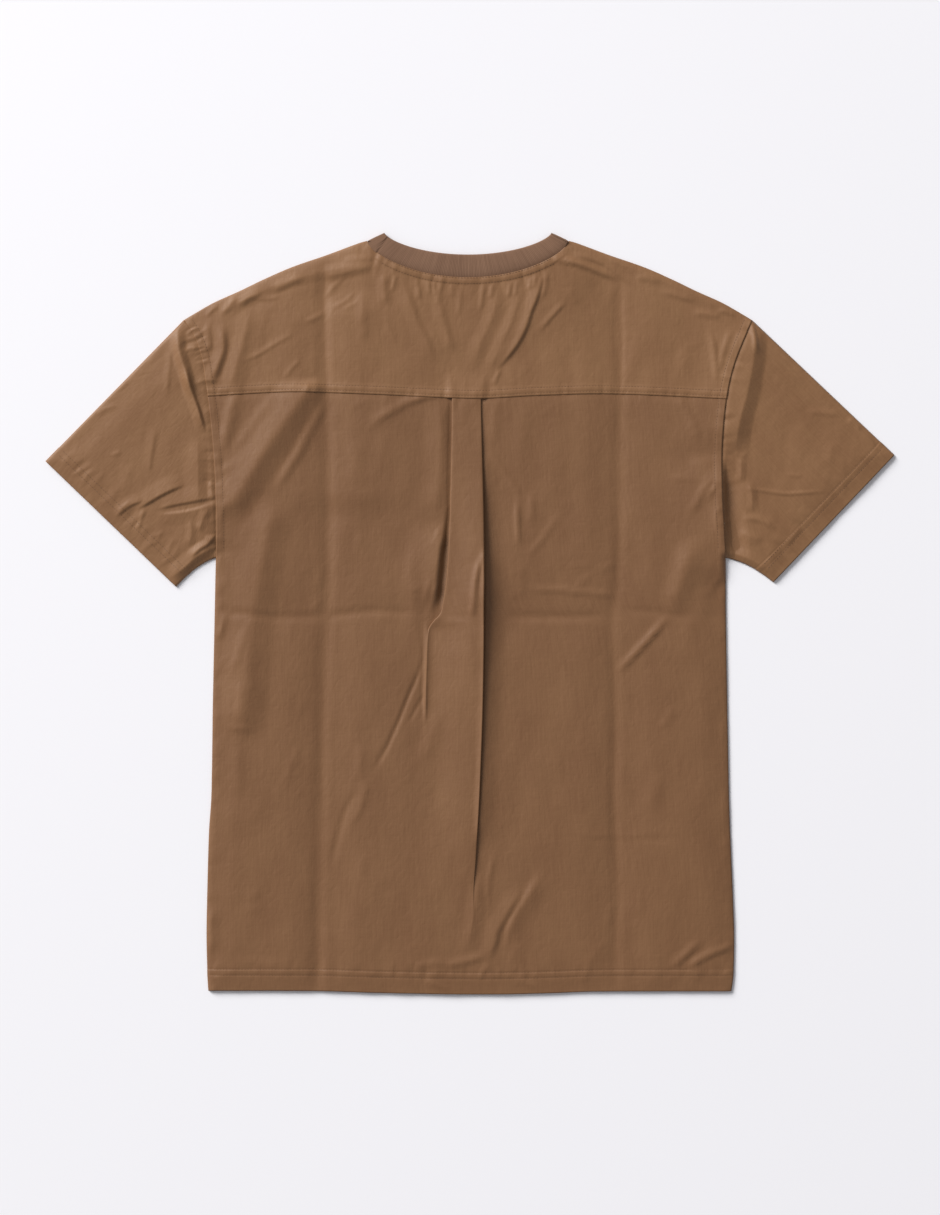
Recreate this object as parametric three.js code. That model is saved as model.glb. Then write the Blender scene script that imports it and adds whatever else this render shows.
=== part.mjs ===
// A short-sleeved t-shirt of thin woven cloth, laid flat on a table with its back up.
// It has a plain front, a back with a box pleat, a back yoke, two sleeves and a rib neckband.
// Each piece that is cut and sewn is a wall of cloth of its own, a hair apart from its neighbours at the seams.
// Millimetres, +Z up. +Y runs to the neck, and +X to the right as seen from above.
// The origin is on the table, under the middle of the shirt's box.

import * as THREE from "three";

// Cloth and layers
const WALL = 1.2; // body cloth
const GAP = 0.3; // between pieces at a seam, and between layers that lie on each other
const HEM_WALL = 1.9; // a hem is turned up inside, so its wall is thicker
const HEM_DEPTH = 21;
const CUFF_HEM_DEPTH = 20;
const HEM_STEP = 1.5; // length over which a wall thickens into its hem
const HEM_RISE_REACH = 26; // length over which the upper layer climbs to lie on the lower hem
const RIB_WALL = 2.0; // rib of the neckband, folded double
const LAYER = WALL + GAP; // from one layer of cloth to the next

// Neck and shoulders
const AXIS_X = -2.1; // the shirt's middle line, which lies a little left of the middle of its box
const OPENING_HALF = 85.2; // half width of the neck opening, at the band's folded corners
const OPENING_TOP = 388.1;
const BACK_OPENING_DROP = 22.4;
const FRONT_OPENING_DROP = 80;
const NECK_HALF = 102.3; // half width of the neck seam
const NECK_TOP = 380.0;
const BACK_NECK_DROP = 37.0;
const FRONT_NECK_DROP = 96;
const BACK_FULLNESS = 0.68; // 1 makes a neck curve a parabola, 0.5 an ellipse
const FRONT_FULLNESS = 0.55;
const SHOULDER_Y = 298.9; // shoulder point, where the sleeve seam meets the folded edge
const UNDERARM_Y = 57;
const BODY_FOOT = -388.1;

// Shoulder edge: its height at each distance from the middle line
const SHOULDER = [
  { x: 102.3, y: 380.0 },
  { x: 111.0, y: 377.4 },
  { x: 144.0, y: 365.2 },
  { x: 179.5, y: 352.9 },
  { x: 207.5, y: 340.7 },
  { x: 233.0, y: 328.4 },
  { x: 260.0, y: 316.2 },
  { x: 282.0, y: 303.6 },
  { x: 289.6, y: 298.9 },
];

// Body edge from the shoulder point, down the armhole and the side seam, to the hem
const BODY_EDGE = [
  { y: 298.9, left: -291.7, right: 287.5 },
  { y: 283.0, left: -281.4, right: 280.6 },
  { y: 262.0, left: -273.6, right: 271.9 },
  { y: 240.0, left: -269.8, right: 265.2 },
  { y: 215.0, left: -266.4, right: 260.6 },
  { y: 185.0, left: -263.2, right: 257.6 },
  { y: 150.0, left: -260.5, right: 256.4 },
  { y: 116.0, left: -259.0, right: 257.1 },
  { y: 90.0, left: -258.4, right: 258.8 },
  { y: 57.0, left: -259.0, right: 260.4 },
  { y: -2.0, left: -260.2, right: 260.8 },
  { y: -88.0, left: -262.0, right: 262.2 },
  { y: -186.0, left: -263.6, right: 264.0 },
  { y: -223.0, left: -266.0, right: 265.2 },
  { y: -296.0, left: -268.0, right: 268.3 },
  { y: -333.0, left: -268.4, right: 269.3 },
  { y: -369.0, left: -267.5, right: 268.4 },
  { y: -388.1, left: -266.2, right: 265.8 },
];

// Lower edge of the hem
const HEM_EDGE = [
  { x: -280.0, y: -384.5 },
  { x: -157.0, y: -384.8 },
  { x: -97.0, y: -386.6 },
  { x: -20.0, y: -388.1 },
  { x: 36.0, y: -388.1 },
  { x: 87.0, y: -386.8 },
  { x: 124.0, y: -385.4 },
  { x: 280.0, y: -385.0 },
];

// Seam between the yoke and the back
const YOKE_SEAM = [
  { x: -280.0, y: 220.5 },
  { x: -187.0, y: 225.4 },
  { x: -103.0, y: 223.3 },
  { x: -20.0, y: 219.6 },
  { x: 13.0, y: 219.0 },
  { x: 68.0, y: 222.0 },
  { x: 146.0, y: 223.7 },
  { x: 280.0, y: 217.5 },
];

// Box pleat at heights down the back: its two edges as seen, how far the cloth is folded in under each,
// and how far each fold turns back, in degrees. A fold that turns back little is a step in the cloth.
const PLEAT = [
  { y: 226, left: -18.7, right: 12.6, underLeft: 13.0, underRight: 13.0, turnLeft: 180, turnRight: 180 },
  { y: 136, left: -20.2, right: 14.0, underLeft: 11.5, underRight: 12.5, turnLeft: 180, turnRight: 180 },
  { y: 75, left: -23.5, right: 15.6, underLeft: 9.0, underRight: 11.5, turnLeft: 180, turnRight: 180 },
  { y: 14, left: -30.0, right: 15.4, underLeft: 5.5, underRight: 10.5, turnLeft: 180, turnRight: 180 },
  { y: -14, left: -37.5, right: 15.8, underLeft: 3.0, underRight: 9.5, turnLeft: 172, turnRight: 180 },
  { y: -50, left: -45.0, right: 16.0, underLeft: 0.8, underRight: 8.5, turnLeft: 150, turnRight: 180 },
  { y: -108, left: -46.8, right: 14.2, underLeft: 1.4, underRight: 6.5, turnLeft: 60, turnRight: 180 },
  { y: -185, left: -46.0, right: 11.5, underLeft: 3.0, underRight: 4.0, turnLeft: 14, turnRight: 180 },
  { y: -255, left: -45.0, right: 8.5, underLeft: 3.0, underRight: 0.8, turnLeft: 12, turnRight: 150 },
  { y: -310, left: -44.0, right: 9.0, underLeft: 3.0, underRight: 1.4, turnLeft: 12, turnRight: 60 },
  { y: -350, left: -43.0, right: 10.0, underLeft: 3.0, underRight: 3.0, turnLeft: 12, turnRight: 14 },
  { y: -390, left: -43.0, right: 10.0, underLeft: 3.0, underRight: 3.0, turnLeft: 12, turnRight: 12 },
];

// Sleeves: the ends of the cuff, at the folded top edge and at the underarm seam
const SLEEVES = [
  { name: "sleeve_left", side: "left", cuffTop: [-432.5, 155.0], cuffUnder: [-299.9, 27.5] },
  { name: "sleeve_right", side: "right", cuffTop: [432.5, 161.2], cuffUnder: [309.6, 32.1] },
];
const UNDERARM_BOW = 4; // how far the short underarm edge bows out

// Largest folds of the upper layer. Each is a soft ridge from one end to the other.
// width is the distance from its crest to its foot, and height is how far it stands above the cloth round it.
const FOLDS = [
  { x1: -244, y1: 120, x2: -176, y2: 210, width: 24, height: 4.6 }, // drag fold from the left underarm
  { x1: -250, y1: 228, x2: -222, y2: 304, width: 17, height: 2.8 }, // up the left of the yoke
  { x1: -222, y1: 92, x2: -232, y2: -108, width: 27, height: 3.0 }, // down the left side
  { x1: -60, y1: 322, x2: -30, y2: 246, width: 19, height: 2.2 }, // from the neck seam, left
  { x1: 72, y1: 322, x2: 22, y2: 238, width: 19, height: 3.0 }, // from the neck seam, right
  { x1: 122, y1: 350, x2: 258, y2: 300, width: 18, height: 2.0 }, // roll along the right shoulder
  { x1: -122, y1: 350, x2: -262, y2: 300, width: 18, height: 2.0 }, // roll along the left shoulder
  { x1: -66, y1: -42, x2: -118, y2: -168, width: 18, height: 2.4 }, // from the pleat, down to the left
  { x1: -120, y1: -172, x2: -146, y2: -268, width: 19, height: 2.2 },
  { x1: 76, y1: -262, x2: 34, y2: -352, width: 19, height: 2.8 }, // from the pleat's foot to the hem
  { x1: 205, y1: -8, x2: 158, y2: -62, width: 18, height: 2.0 },
  { x1: 250, y1: -306, x2: 214, y2: -352, width: 17, height: 2.0 }, // drag line at the right corner
  { x1: 224, y1: 188, x2: 236, y2: 62, width: 24, height: 1.8 }, // down from the right armhole
  { x1: -306, y1: 262, x2: -286, y2: 190, width: 16, height: 3.4 }, // left sleeve head
  { x1: -340, y1: 108, x2: -292, y2: 128, width: 14, height: 2.6 }, // left underarm
  { x1: -316, y1: 88, x2: -278, y2: 100, width: 14, height: 2.2 },
  { x1: 290, y1: 256, x2: 276, y2: 168, width: 16, height: 3.4 }, // right sleeve head
  { x1: 276, y1: 138, x2: 288, y2: 84, width: 14, height: 2.4 }, // right underarm
  { x1: 300, y1: 112, x2: 356, y2: 106, width: 17, height: 1.4 },
];

// Creases left by packing: two upright ones and one across. The cloth swells a little between them.
const UPRIGHT_CREASES = [-147.9, 151.0];
const CROSS_CREASE_Y = -3.0;
const CREASE_REACH = 34;
const EDGE_REACH = 26; // the swell dies away to nothing at the outline
const SWELL = 1.3;

// Number of sections and points
const BACK_SECTIONS = 28;
const SIDE_COLUMNS = 12;
const STRIP_COLUMNS = 4;
const FOLD_STEPS = 4; // steps round a folded edge of the pleat
const NECK_STEPS = 14;
const ARMHOLE_SHARES = [0, 0.16, 0.34, 0.52, 0.68, 0.81, 0.91, 1]; // rows of the yoke, from its seam to the shoulder
const LOWER_ARMHOLE = [57, 88, 121, 154, 188]; // heights of rows below the yoke
const FRONT_BODY_ROWS = [-250, -100];
const SLEEVE_SHARES = [0, 0.08, 0.18, 0.3, 0.44, 0.58, 0.72, 0.86, 1]; // rings from the armhole to the hem's stitching
const EDGE_TURNS = [-45, 0, 45]; // steps round a sleeve's folded edge, in degrees
const BAND_FOLD_STEPS = 6;
const BAND_COLUMNS = 3;

// Colours and finish
const CLOTH = { color: 0x86643f, roughness: 0.78, metalness: 0 };
const RIB = { color: 0x7d5f45, roughness: 0.9, metalness: 0 };

const { lerp, clamp, smoothstep, degToRad } = THREE.MathUtils;

// Column `out` of a table at `at`, on a smooth curve through the table's rows.
function read(table, by, out, at) {
  const rises = table[1][by] > table[0][by];
  const rows = rises ? table : [...table].reverse();
  const low = rows.findIndex((row, i) => i === rows.length - 2 || at < rows[i + 1][by]);
  const slope = (i) => {
    const before = rows[Math.max(i - 1, 0)];
    const after = rows[Math.min(i + 1, rows.length - 1)];
    return (after[out] - before[out]) / (after[by] - before[by]);
  };
  const a = rows[low];
  const b = rows[low + 1];
  const span = b[by] - a[by];
  const t = clamp((at - a[by]) / span, 0, 1);
  const rise = (1 - t) * t * ((1 - t) * slope(low) - t * slope(low + 1)) * span;
  return lerp(a[out], b[out], t * t * (3 - 2 * t)) + rise;
}

const shoulderY = (x) => read(SHOULDER, "x", "y", Math.abs(x - AXIS_X));
const bodyEdge = (side, y) => read(BODY_EDGE, "y", side, y);
const hemY = (x) => read(HEM_EDGE, "x", "y", x);
const yokeSeamY = (x) => read(YOKE_SEAM, "x", "y", x);

// A curve across the neck from the left corner to the right one, as points in the plan.
function neckCurve({ half, top, drop, fullness }) {
  return Array.from({ length: NECK_STEPS + 1 }, (_, i) => {
    const angle = degToRad(lerp(-90, 90, i / NECK_STEPS));
    return [AXIS_X + half * Math.sin(angle), top - drop * Math.max(0, Math.cos(angle)) ** (2 * fullness)];
  });
}

const neckSeam = (drop, fullness, apart) =>
  neckCurve({ half: NECK_HALF + apart, top: NECK_TOP - apart, drop: drop + apart, fullness });

// The shirt's outline in the plan, without the neck, for the distance of a point from the edge.
const OUTLINE = (() => {
  const sides = SLEEVES.map(({ side, cuffTop, cuffUnder }) => {
    const sign = side === "left" ? -1 : 1;
    const shoulder = SHOULDER.map((row) => [AXIS_X + sign * row.x, row.y]);
    const body = BODY_EDGE.filter((row) => row.y <= UNDERARM_Y).map((row) => [row[side], row.y]);
    return [...shoulder, cuffTop, cuffUnder, ...body];
  });
  return [...sides[0], ...sides[1].reverse()];
})();

function fromOutline(x, y) {
  let nearest = Infinity;
  for (let i = 1; i < OUTLINE.length; i++) {
    const [ax, ay] = OUTLINE[i - 1];
    const [bx, by] = OUTLINE[i];
    const length = Math.hypot(bx - ax, by - ay) ** 2;
    const t = clamp(((x - ax) * (bx - ax) + (y - ay) * (by - ay)) / length, 0, 1);
    nearest = Math.min(nearest, Math.hypot(x - lerp(ax, bx, t), y - lerp(ay, by, t)));
  }
  return nearest;
}

// Height of one fold at a point of the plan: a bell across the fold that dies away at its ends.
function foldHeight(fold, x, y) {
  const alongX = fold.x2 - fold.x1;
  const alongY = fold.y2 - fold.y1;
  const length = Math.hypot(alongX, alongY);
  const along = ((x - fold.x1) * alongX + (y - fold.y1) * alongY) / length;
  const across = ((x - fold.x1) * alongY - (y - fold.y1) * alongX) / length;
  const past = Math.max(0, -along, along - length);
  const reach = Math.min(1, Math.hypot(across, past) / fold.width);
  return fold.height * (0.5 + 0.5 * Math.cos(Math.PI * reach));
}

// How far the upper layer stands above where it would lie pressed flat on the lower one.
function lift(x, y) {
  const fromUpright = Math.min(...UPRIGHT_CREASES.map((crease) => Math.abs(x - crease)));
  const fromCross = Math.abs(y - CROSS_CREASE_Y);
  const between = smoothstep(fromUpright, 0, CREASE_REACH) * lerp(0.55, 1, smoothstep(fromCross, 0, CREASE_REACH));
  const swell = SWELL * between * smoothstep(fromOutline(x, y), 0, EDGE_REACH);
  const neckReach = Math.hypot((x - AXIS_X) / NECK_HALF, (y - NECK_TOP) / FRONT_NECK_DROP);
  const overRib = (RIB_WALL - WALL + 0.1) * (1 - smoothstep(neckReach, 1.06, 1.4));
  const overHem = 2 * (HEM_WALL - WALL) * (1 - smoothstep(y - hemY(x), HEM_DEPTH, HEM_DEPTH + HEM_RISE_REACH));
  return FOLDS.reduce((height, fold) => height + foldHeight(fold, x, y), swell + overRib + overHem);
}

// A closed wall of cloth between two grids of points of the same size: its face and its back.
// The grid may close on itself down its rows, as the neckband's does, or across them, as a sleeve's does.
function clothWall(face, back, { closedRows = false, closedColumns = false } = {}) {
  const rows = face.length;
  const columns = face[0].length;
  const index = [];
  const at = (layer, i, j) => (layer * rows + (i % rows)) * columns + (j % columns);
  const quad = (a, b, c, d) => index.push(a, b, c, a, c, d);
  const rowSteps = closedRows ? rows : rows - 1;
  const columnSteps = closedColumns ? columns : columns - 1;
  for (let i = 0; i < rowSteps; i++) {
    for (let j = 0; j < columnSteps; j++) {
      quad(at(0, i, j), at(0, i, j + 1), at(0, i + 1, j + 1), at(0, i + 1, j));
      quad(at(1, i, j), at(1, i + 1, j), at(1, i + 1, j + 1), at(1, i, j + 1));
    }
  }
  const top = rows - 1;
  const end = columns - 1;
  for (let j = 0; j < columnSteps && !closedRows; j++) {
    quad(at(1, 0, j), at(1, 0, j + 1), at(0, 0, j + 1), at(0, 0, j));
    quad(at(0, top, j), at(0, top, j + 1), at(1, top, j + 1), at(1, top, j));
  }
  for (let i = 0; i < rowSteps && !closedColumns; i++) {
    quad(at(1, i + 1, 0), at(1, i, 0), at(0, i, 0), at(0, i + 1, 0));
    quad(at(0, i + 1, end), at(0, i, end), at(1, i, end), at(1, i + 1, end));
  }
  const geometry = new THREE.BufferGeometry();
  geometry.setAttribute("position", new THREE.Float32BufferAttribute([...face, ...back].flat(2), 3));
  geometry.setIndex(index);
  return geometry;
}

const shirt = new THREE.Group();

function addPiece(name, geometry, finish) {
  geometry.computeVertexNormals();
  const mesh = new THREE.Mesh(geometry, new THREE.MeshStandardMaterial(finish));
  mesh.name = name;
  shirt.add(mesh);
}

// Points of a panel in the plan, in rows from its foot to its head. The head is the edge over the shoulders and neck.
// sides holds the rows' heights at the left and right edge. pull says how soon the rows take the head's shape.
function panelRows({ head, footY, sides, pull }) {
  const from = head[0];
  const to = head[head.length - 1];
  const last = sides.left.length - 1;
  return sides.left.map((_, i) => {
    const [left, right] = ["left", "right"].map((side) => {
      const y = sides[side][i];
      return { x: bodyEdge(side, y), y, share: (y - sides[side][0]) / (sides[side][last] - sides[side][0]) };
    });
    return head.map(([x, y]) => {
      const across = (x - from[0]) / (to[0] - from[0]);
      const share = lerp(left.share, right.share, across);
      const straight = lerp(from[1], to[1], across);
      const footX = lerp(bodyEdge("left", sides.left[0]), bodyEdge("right", sides.right[0]), across);
      const footBow = footY(footX) - lerp(sides.left[0], sides.right[0], across);
      const inset = lerp(GAP / 2, -GAP / 2, across) * smoothstep(lerp(left.y, right.y, across), 0, UNDERARM_Y);
      return [
        lerp(left.x, right.x, across) + inset,
        lerp(left.y, right.y, across) + (y - straight) * share ** pull + footBow * (1 - share),
      ];
    });
  });
}

const shoulderRun = (sign) => SHOULDER.slice(1).map((row) => [AXIS_X + sign * row.x, row.y]);

function headEdge(neck) {
  return [...shoulderRun(-1).reverse(), ...neck, ...shoulderRun(1)];
}

// Heights of the rows in the armhole, which the yoke, the front and a sleeve share so that their seams follow
// each other.
const yokeFoot = (side) => yokeSeamY(bodyEdge(side, 220));
const upperArmhole = (side) => ARMHOLE_SHARES.map((share) => lerp(yokeFoot(side), SHOULDER_Y, share));

// Front: it lies on the table, with a deeper neck than the back. Its hem is turned up inside, which is on top here.
function front() {
  const head = headEdge(neckSeam(FRONT_NECK_DROP, FRONT_FULLNESS, 2 * GAP));
  const hemHeights = (side) => {
    const foot = hemY(bodyEdge(side, BODY_FOOT));
    return [foot, foot + HEM_DEPTH - HEM_STEP, foot + HEM_DEPTH];
  };
  const heights = (side) => [...hemHeights(side), ...FRONT_BODY_ROWS, ...LOWER_ARMHOLE, ...upperArmhole(side)];
  const plan = panelRows({
    head,
    footY: hemY,
    sides: { left: heights("left"), right: heights("right") },
    pull: 3,
  });
  const wall = (i) => (i < 2 ? HEM_WALL : WALL);
  const inside = plan.map((row, i) => row.map(([x, y]) => [x, y, wall(i)]));
  const outside = plan.map((row) => row.map(([x, y]) => [x, y, 0]));
  return clothWall(inside, outside);
}

// Yoke: it lies over the front, and climbs over the folded layers of the pleat at its middle.
function yoke() {
  const head = headEdge(neckSeam(BACK_NECK_DROP, BACK_FULLNESS, GAP));
  const plan = panelRows({
    head,
    footY: (x) => yokeSeamY(x) + GAP / 2,
    sides: { left: upperArmhole("left"), right: upperArmhole("right") },
    pull: 1,
  });
  const overPleat = (x, y) => {
    const { left, right } = PLEAT[0];
    const outside = Math.max(left - x, x - right, 0);
    return 2 * LAYER * (1 - smoothstep(outside, 0, 24)) * (1 - smoothstep(y - yokeSeamY(x), 0, 34));
  };
  const level = (wall) => (row) => row.map(([x, y]) => [x, y, LAYER + wall + lift(x, y) + overPleat(x, y)]);
  return clothWall(plan.map(level(WALL)), plan.map(level(0)));
}

// One fold of the pleat across a section, from the panel at its left to the strip on top: middle of the wall and
// the direction of its face. It turns up and back, runs the length `under`, and turns again to lie flat.
function pleatFold(edgeX, under, turn) {
  const angle = degToRad(turn);
  const radius = LAYER / 2;
  const stripX = edgeX + radius + WALL / 2;
  const x0 = stripX - 2 * radius * Math.sin(angle) - under * Math.cos(angle);
  const points = [];
  for (let k = 0; k <= FOLD_STEPS; k++) {
    const heading = (angle * k) / FOLD_STEPS;
    points.push({ x: x0 + radius * Math.sin(heading), z: radius * (1 - Math.cos(heading)), heading });
  }
  const leg = points[FOLD_STEPS];
  const turnX = leg.x + under * Math.cos(angle);
  const turnZ = leg.z + under * Math.sin(angle);
  for (let k = FOLD_STEPS; k >= 0; k--) {
    const heading = (angle * k) / FOLD_STEPS;
    points.push({
      x: turnX + radius * (Math.sin(angle) - Math.sin(heading)),
      z: turnZ + radius * (Math.cos(heading) - Math.cos(angle)),
      heading,
    });
  }
  return { points, rise: points[points.length - 1].z };
}

// One section across the back, from its left edge to its right, as points of its face and of its inside.
function backSection(share) {
  const yAt = (x) => lerp(hemY(x), yokeSeamY(x) - GAP / 2, share);
  const [leftX, rightX] = ["left", "right"].map((side) => {
    const y = yAt(bodyEdge(side, 0));
    const apart = (GAP / 2) * smoothstep(y, 0, UNDERARM_Y);
    return bodyEdge(side, y) + (side === "left" ? apart : -apart);
  });
  const at = (column) => read(PLEAT, "y", column, yAt(0));
  const left = pleatFold(at("left"), Math.max(0, at("underLeft")), clamp(at("turnLeft"), 0, 180));
  const right = pleatFold(-at("right"), Math.max(0, at("underRight")), clamp(at("turnRight"), 0, 180));
  const flat = (from, to, steps, z0, z1) =>
    Array.from({ length: steps }, (_, k) => ({
      x: lerp(from, to, k / steps),
      z: lerp(z0, z1, k / steps),
      heading: 0,
    }));
  const mirrored = right.points.map(({ x, z, heading }) => ({ x: -x, z, heading: -heading })).reverse();
  const leftStart = Math.min(left.points[0].x - 1, at("left") - 2);
  const rightStart = Math.max(mirrored[mirrored.length - 1].x + 1, at("right") + 2);
  const stripFrom = left.points[left.points.length - 1].x;
  const stripStep = (mirrored[0].x - stripFrom) / STRIP_COLUMNS;
  const path = [
    ...flat(leftX, leftStart, SIDE_COLUMNS, 0, 0),
    { x: leftStart, z: 0, heading: 0 },
    ...left.points,
    ...flat(stripFrom + stripStep, mirrored[0].x, STRIP_COLUMNS - 1, lerp(left.rise, right.rise, 1 / STRIP_COLUMNS), right.rise),
    ...mirrored,
    ...flat(rightStart, rightX, SIDE_COLUMNS, 0, 0),
    { x: rightX, z: 0, heading: 0 },
  ];
  // Across the pleat the layers lie parallel, so their lift runs straight from one side of it to the other.
  const liftAt = (x) => {
    const y = yAt(x);
    const across = clamp((x - leftStart) / (rightStart - leftStart), 0, 1);
    if (across === 0 || across === 1) return lift(x, y);
    return lerp(lift(leftStart, y), lift(rightStart, y), across);
  };
  return path.map(({ x, z, heading }) => {
    const y = yAt(x);
    const wall = y < hemY(x) + HEM_DEPTH - HEM_STEP / 2 ? HEM_WALL : WALL;
    const middle = LAYER + WALL / 2 + z + liftAt(x);
    const face = [x - (WALL / 2) * Math.sin(heading), y, middle + (WALL / 2) * Math.cos(heading)];
    const inside = [x + (wall - WALL / 2) * Math.sin(heading), y, middle - (wall - WALL / 2) * Math.cos(heading)];
    return [face, inside];
  });
}

// Back: sections from the hem up to the yoke seam.
function back() {
  const height = yokeSeamY(0) - hemY(0);
  const hemShares = [0, HEM_DEPTH - HEM_STEP, HEM_DEPTH].map((depth) => depth / height);
  const above = Array.from({ length: BACK_SECTIONS }, (_, i) => lerp(hemShares[2], 1, (i + 1) / BACK_SECTIONS));
  const sections = [...hemShares, ...above].map(backSection);
  return clothWall(
    sections.map((section) => section.map(([face]) => face)),
    sections.map((section) => section.map(([, inside]) => inside)),
  );
}

// Sleeve: a tube folded flat along its top edge, in rings from the armhole to the cuff.
function sleeve({ side, cuffTop, cuffUnder }) {
  const sign = side === "left" ? -1 : 1;
  const heights = [...LOWER_ARMHOLE, ...upperArmhole(side)].reverse();
  const armhole = heights.map((y) => [bodyEdge(side, y) + (sign * GAP) / 2, y]);
  const cuffLength = Math.hypot(cuffUnder[0] - cuffTop[0], cuffUnder[1] - cuffTop[1]);
  const intoSleeve = [(cuffUnder[1] - cuffTop[1]) / cuffLength, -(cuffUnder[0] - cuffTop[0]) / cuffLength];
  const inward = intoSleeve.map((part) => part * (side === "left" ? -1 : 1));
  const lines = armhole.map(([x, y]) => {
    const across = (SHOULDER_Y - y) / (SHOULDER_Y - UNDERARM_Y);
    const end = [0, 1].map((k) => lerp(cuffTop[k], cuffUnder[k], across));
    const length = (x - end[0]) * inward[0] + (y - end[1]) * inward[1];
    return { start: [x, y], end, across, length };
  });
  const ring = (alongOf, wall, hem) => {
    const plan = lines.map((line) => {
      const along = alongOf(line);
      const bow = UNDERARM_BOW * 4 * along * (1 - along) * line.across ** 4;
      return [lerp(line.start[0], line.end[0], along), lerp(line.start[1], line.end[1], along) + bow];
    });
    const height = plan.map(([x, y], j) => {
      const toHem = (1 - alongOf(lines[j])) * lines[j].length - CUFF_HEM_DEPTH;
      const climb = hem ? 1 : 1 - smoothstep(toHem, 0, HEM_RISE_REACH);
      return 2 * WALL + GAP + 2 * (HEM_WALL - WALL) * climb + lift(x, y);
    });
    const last = plan.length - 1;
    const ends = [
      { at: 0, next: 1 },
      { at: last, next: last - 1 },
    ].map(({ at, next }) => {
      const dx = plan[at][0] - plan[next][0];
      const dy = plan[at][1] - plan[next][1];
      const length = Math.hypot(dx, dy);
      const radius = height[at] / 2;
      const out = [dx / length, dy / length];
      return { out, radius, centre: [plan[at][0] - out[0] * radius, plan[at][1] - out[1] * radius] };
    });
    plan[0] = ends[0].centre;
    plan[last] = ends[1].centre;
    const turn = ({ out, radius, centre }, depth, downward) =>
      EDGE_TURNS.map((degrees) => {
        const angle = degToRad(downward ? -degrees : degrees);
        const reach = radius - depth;
        const outward = reach * Math.cos(angle);
        return [centre[0] + out[0] * outward, centre[1] + out[1] * outward, radius + reach * Math.sin(angle)];
      });
    const loop = (depth) => [
      ...plan.map(([x, y], j) => [x, y, height[j] - depth]),
      ...turn(ends[1], depth, true),
      ...plan.map(([x, y]) => [x, y, depth]).reverse(),
      ...turn(ends[0], depth, false),
    ];
    return [loop(0), loop(wall)];
  };
  const hemAlong = (depth) => (line) => 1 - depth / line.length;
  const rings = [
    ...SLEEVE_SHARES.map((share) => ring((line) => share * hemAlong(CUFF_HEM_DEPTH)(line), WALL, false)),
    ring(hemAlong(CUFF_HEM_DEPTH - HEM_STEP), HEM_WALL, true),
    ring(hemAlong(CUFF_HEM_DEPTH / 2), HEM_WALL, true),
    ring(() => 1, HEM_WALL, true),
  ];
  if (side === "left") rings.reverse();
  return clothWall(
    rings.map(([outer]) => outer),
    rings.map(([, inner]) => inner),
    { closedColumns: true },
  );
}

// Neckband: a ring of rib that lies over itself, folded at both shoulders, in sections round the neck.
function neckband() {
  const half = RIB_WALL / 2;
  const radius = (RIB_WALL + GAP) / 2; // of the fold, to the middle of the wall
  const inset = radius + half;
  // Pairs of points on the opening and on the seam. The end pairs are drawn in by the fold's own reach.
  const arc = (openingDrop, seamDrop, fullness) => {
    const open = neckCurve({ half: OPENING_HALF, top: OPENING_TOP, drop: openingDrop, fullness });
    const sewn = neckCurve({ half: NECK_HALF, top: NECK_TOP, drop: seamDrop, fullness });
    const pairs = open.map((point, i) => [point, sewn[i]]);
    [0, NECK_STEPS].forEach((end) => {
      const [[ox, oy], [sx, sy]] = pairs[end];
      const length = Math.hypot(sx - ox, sy - oy);
      const out = [Math.abs(sy - oy) / length, Math.abs(sx - ox) / length];
      const towardMiddle = end === 0 ? 1 : -1;
      pairs[end] = pairs[end].map(([x, y]) => [x + towardMiddle * out[0] * inset, y - out[1] * inset]);
    });
    return pairs;
  };
  const backArc = arc(BACK_OPENING_DROP, BACK_NECK_DROP, BACK_FULLNESS);
  const frontArc = arc(FRONT_OPENING_DROP, FRONT_NECK_DROP, FRONT_FULLNESS).reverse();
  const section = ([open, sewn], degrees, sign) => {
    const length = Math.hypot(sewn[0] - open[0], sewn[1] - open[1]);
    const out = [(-(sewn[1] - open[1]) / length) * sign, ((sewn[0] - open[0]) / length) * sign];
    const angle = degToRad(degrees);
    const level = (reach) =>
      Array.from({ length: BAND_COLUMNS + 1 }, (_, k) => {
        const share = k / BAND_COLUMNS;
        return [
          lerp(open[0], sewn[0], share) + out[0] * reach * Math.sin(angle),
          lerp(open[1], sewn[1], share) + out[1] * reach * Math.sin(angle),
          inset + reach * Math.cos(angle),
        ];
      });
    return [level(radius + half), level(radius - half)];
  };
  const fold = (pair, from, sign) =>
    Array.from({ length: BAND_FOLD_STEPS - 1 }, (_, k) => {
      const turned = (180 * (k + 1)) / BAND_FOLD_STEPS;
      return section(pair, sign > 0 ? from + turned : from - turned, sign);
    });
  const sections = [
    ...backArc.map((pair) => section(pair, 0, 1)),
    ...fold(backArc[NECK_STEPS], 0, 1),
    ...frontArc.map((pair) => section(pair, 180, 1)),
    ...fold(frontArc[NECK_STEPS], 180, -1),
  ];
  return clothWall(
    sections.map(([outer]) => outer),
    sections.map(([, inner]) => inner),
    { closedRows: true },
  );
}

addPiece("front", front(), CLOTH);
addPiece("back", back(), CLOTH);
addPiece("yoke", yoke(), CLOTH);
SLEEVES.forEach((spec) => addPiece(spec.name, sleeve(spec), CLOTH));
addPiece("neckband", neckband(), RIB);

export default shirt;
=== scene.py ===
# %% [markdown]
# # A brown t-shirt, laid flat with its back up
# The shirt is cut from six pieces: a front, a back with a box pleat, a back yoke, two sleeves and a rib
# neckband. Each piece of cloth is made from a plain grid, which is laid out on the shirt's own plan. A
# field of heights then gives all the pieces the same folds and creases, so that a fold runs on across a
# seam, as it does in real cloth. Sizes are in millimetres until they go into a mesh, which is in metres.

# %% Load the frame
import math

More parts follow.
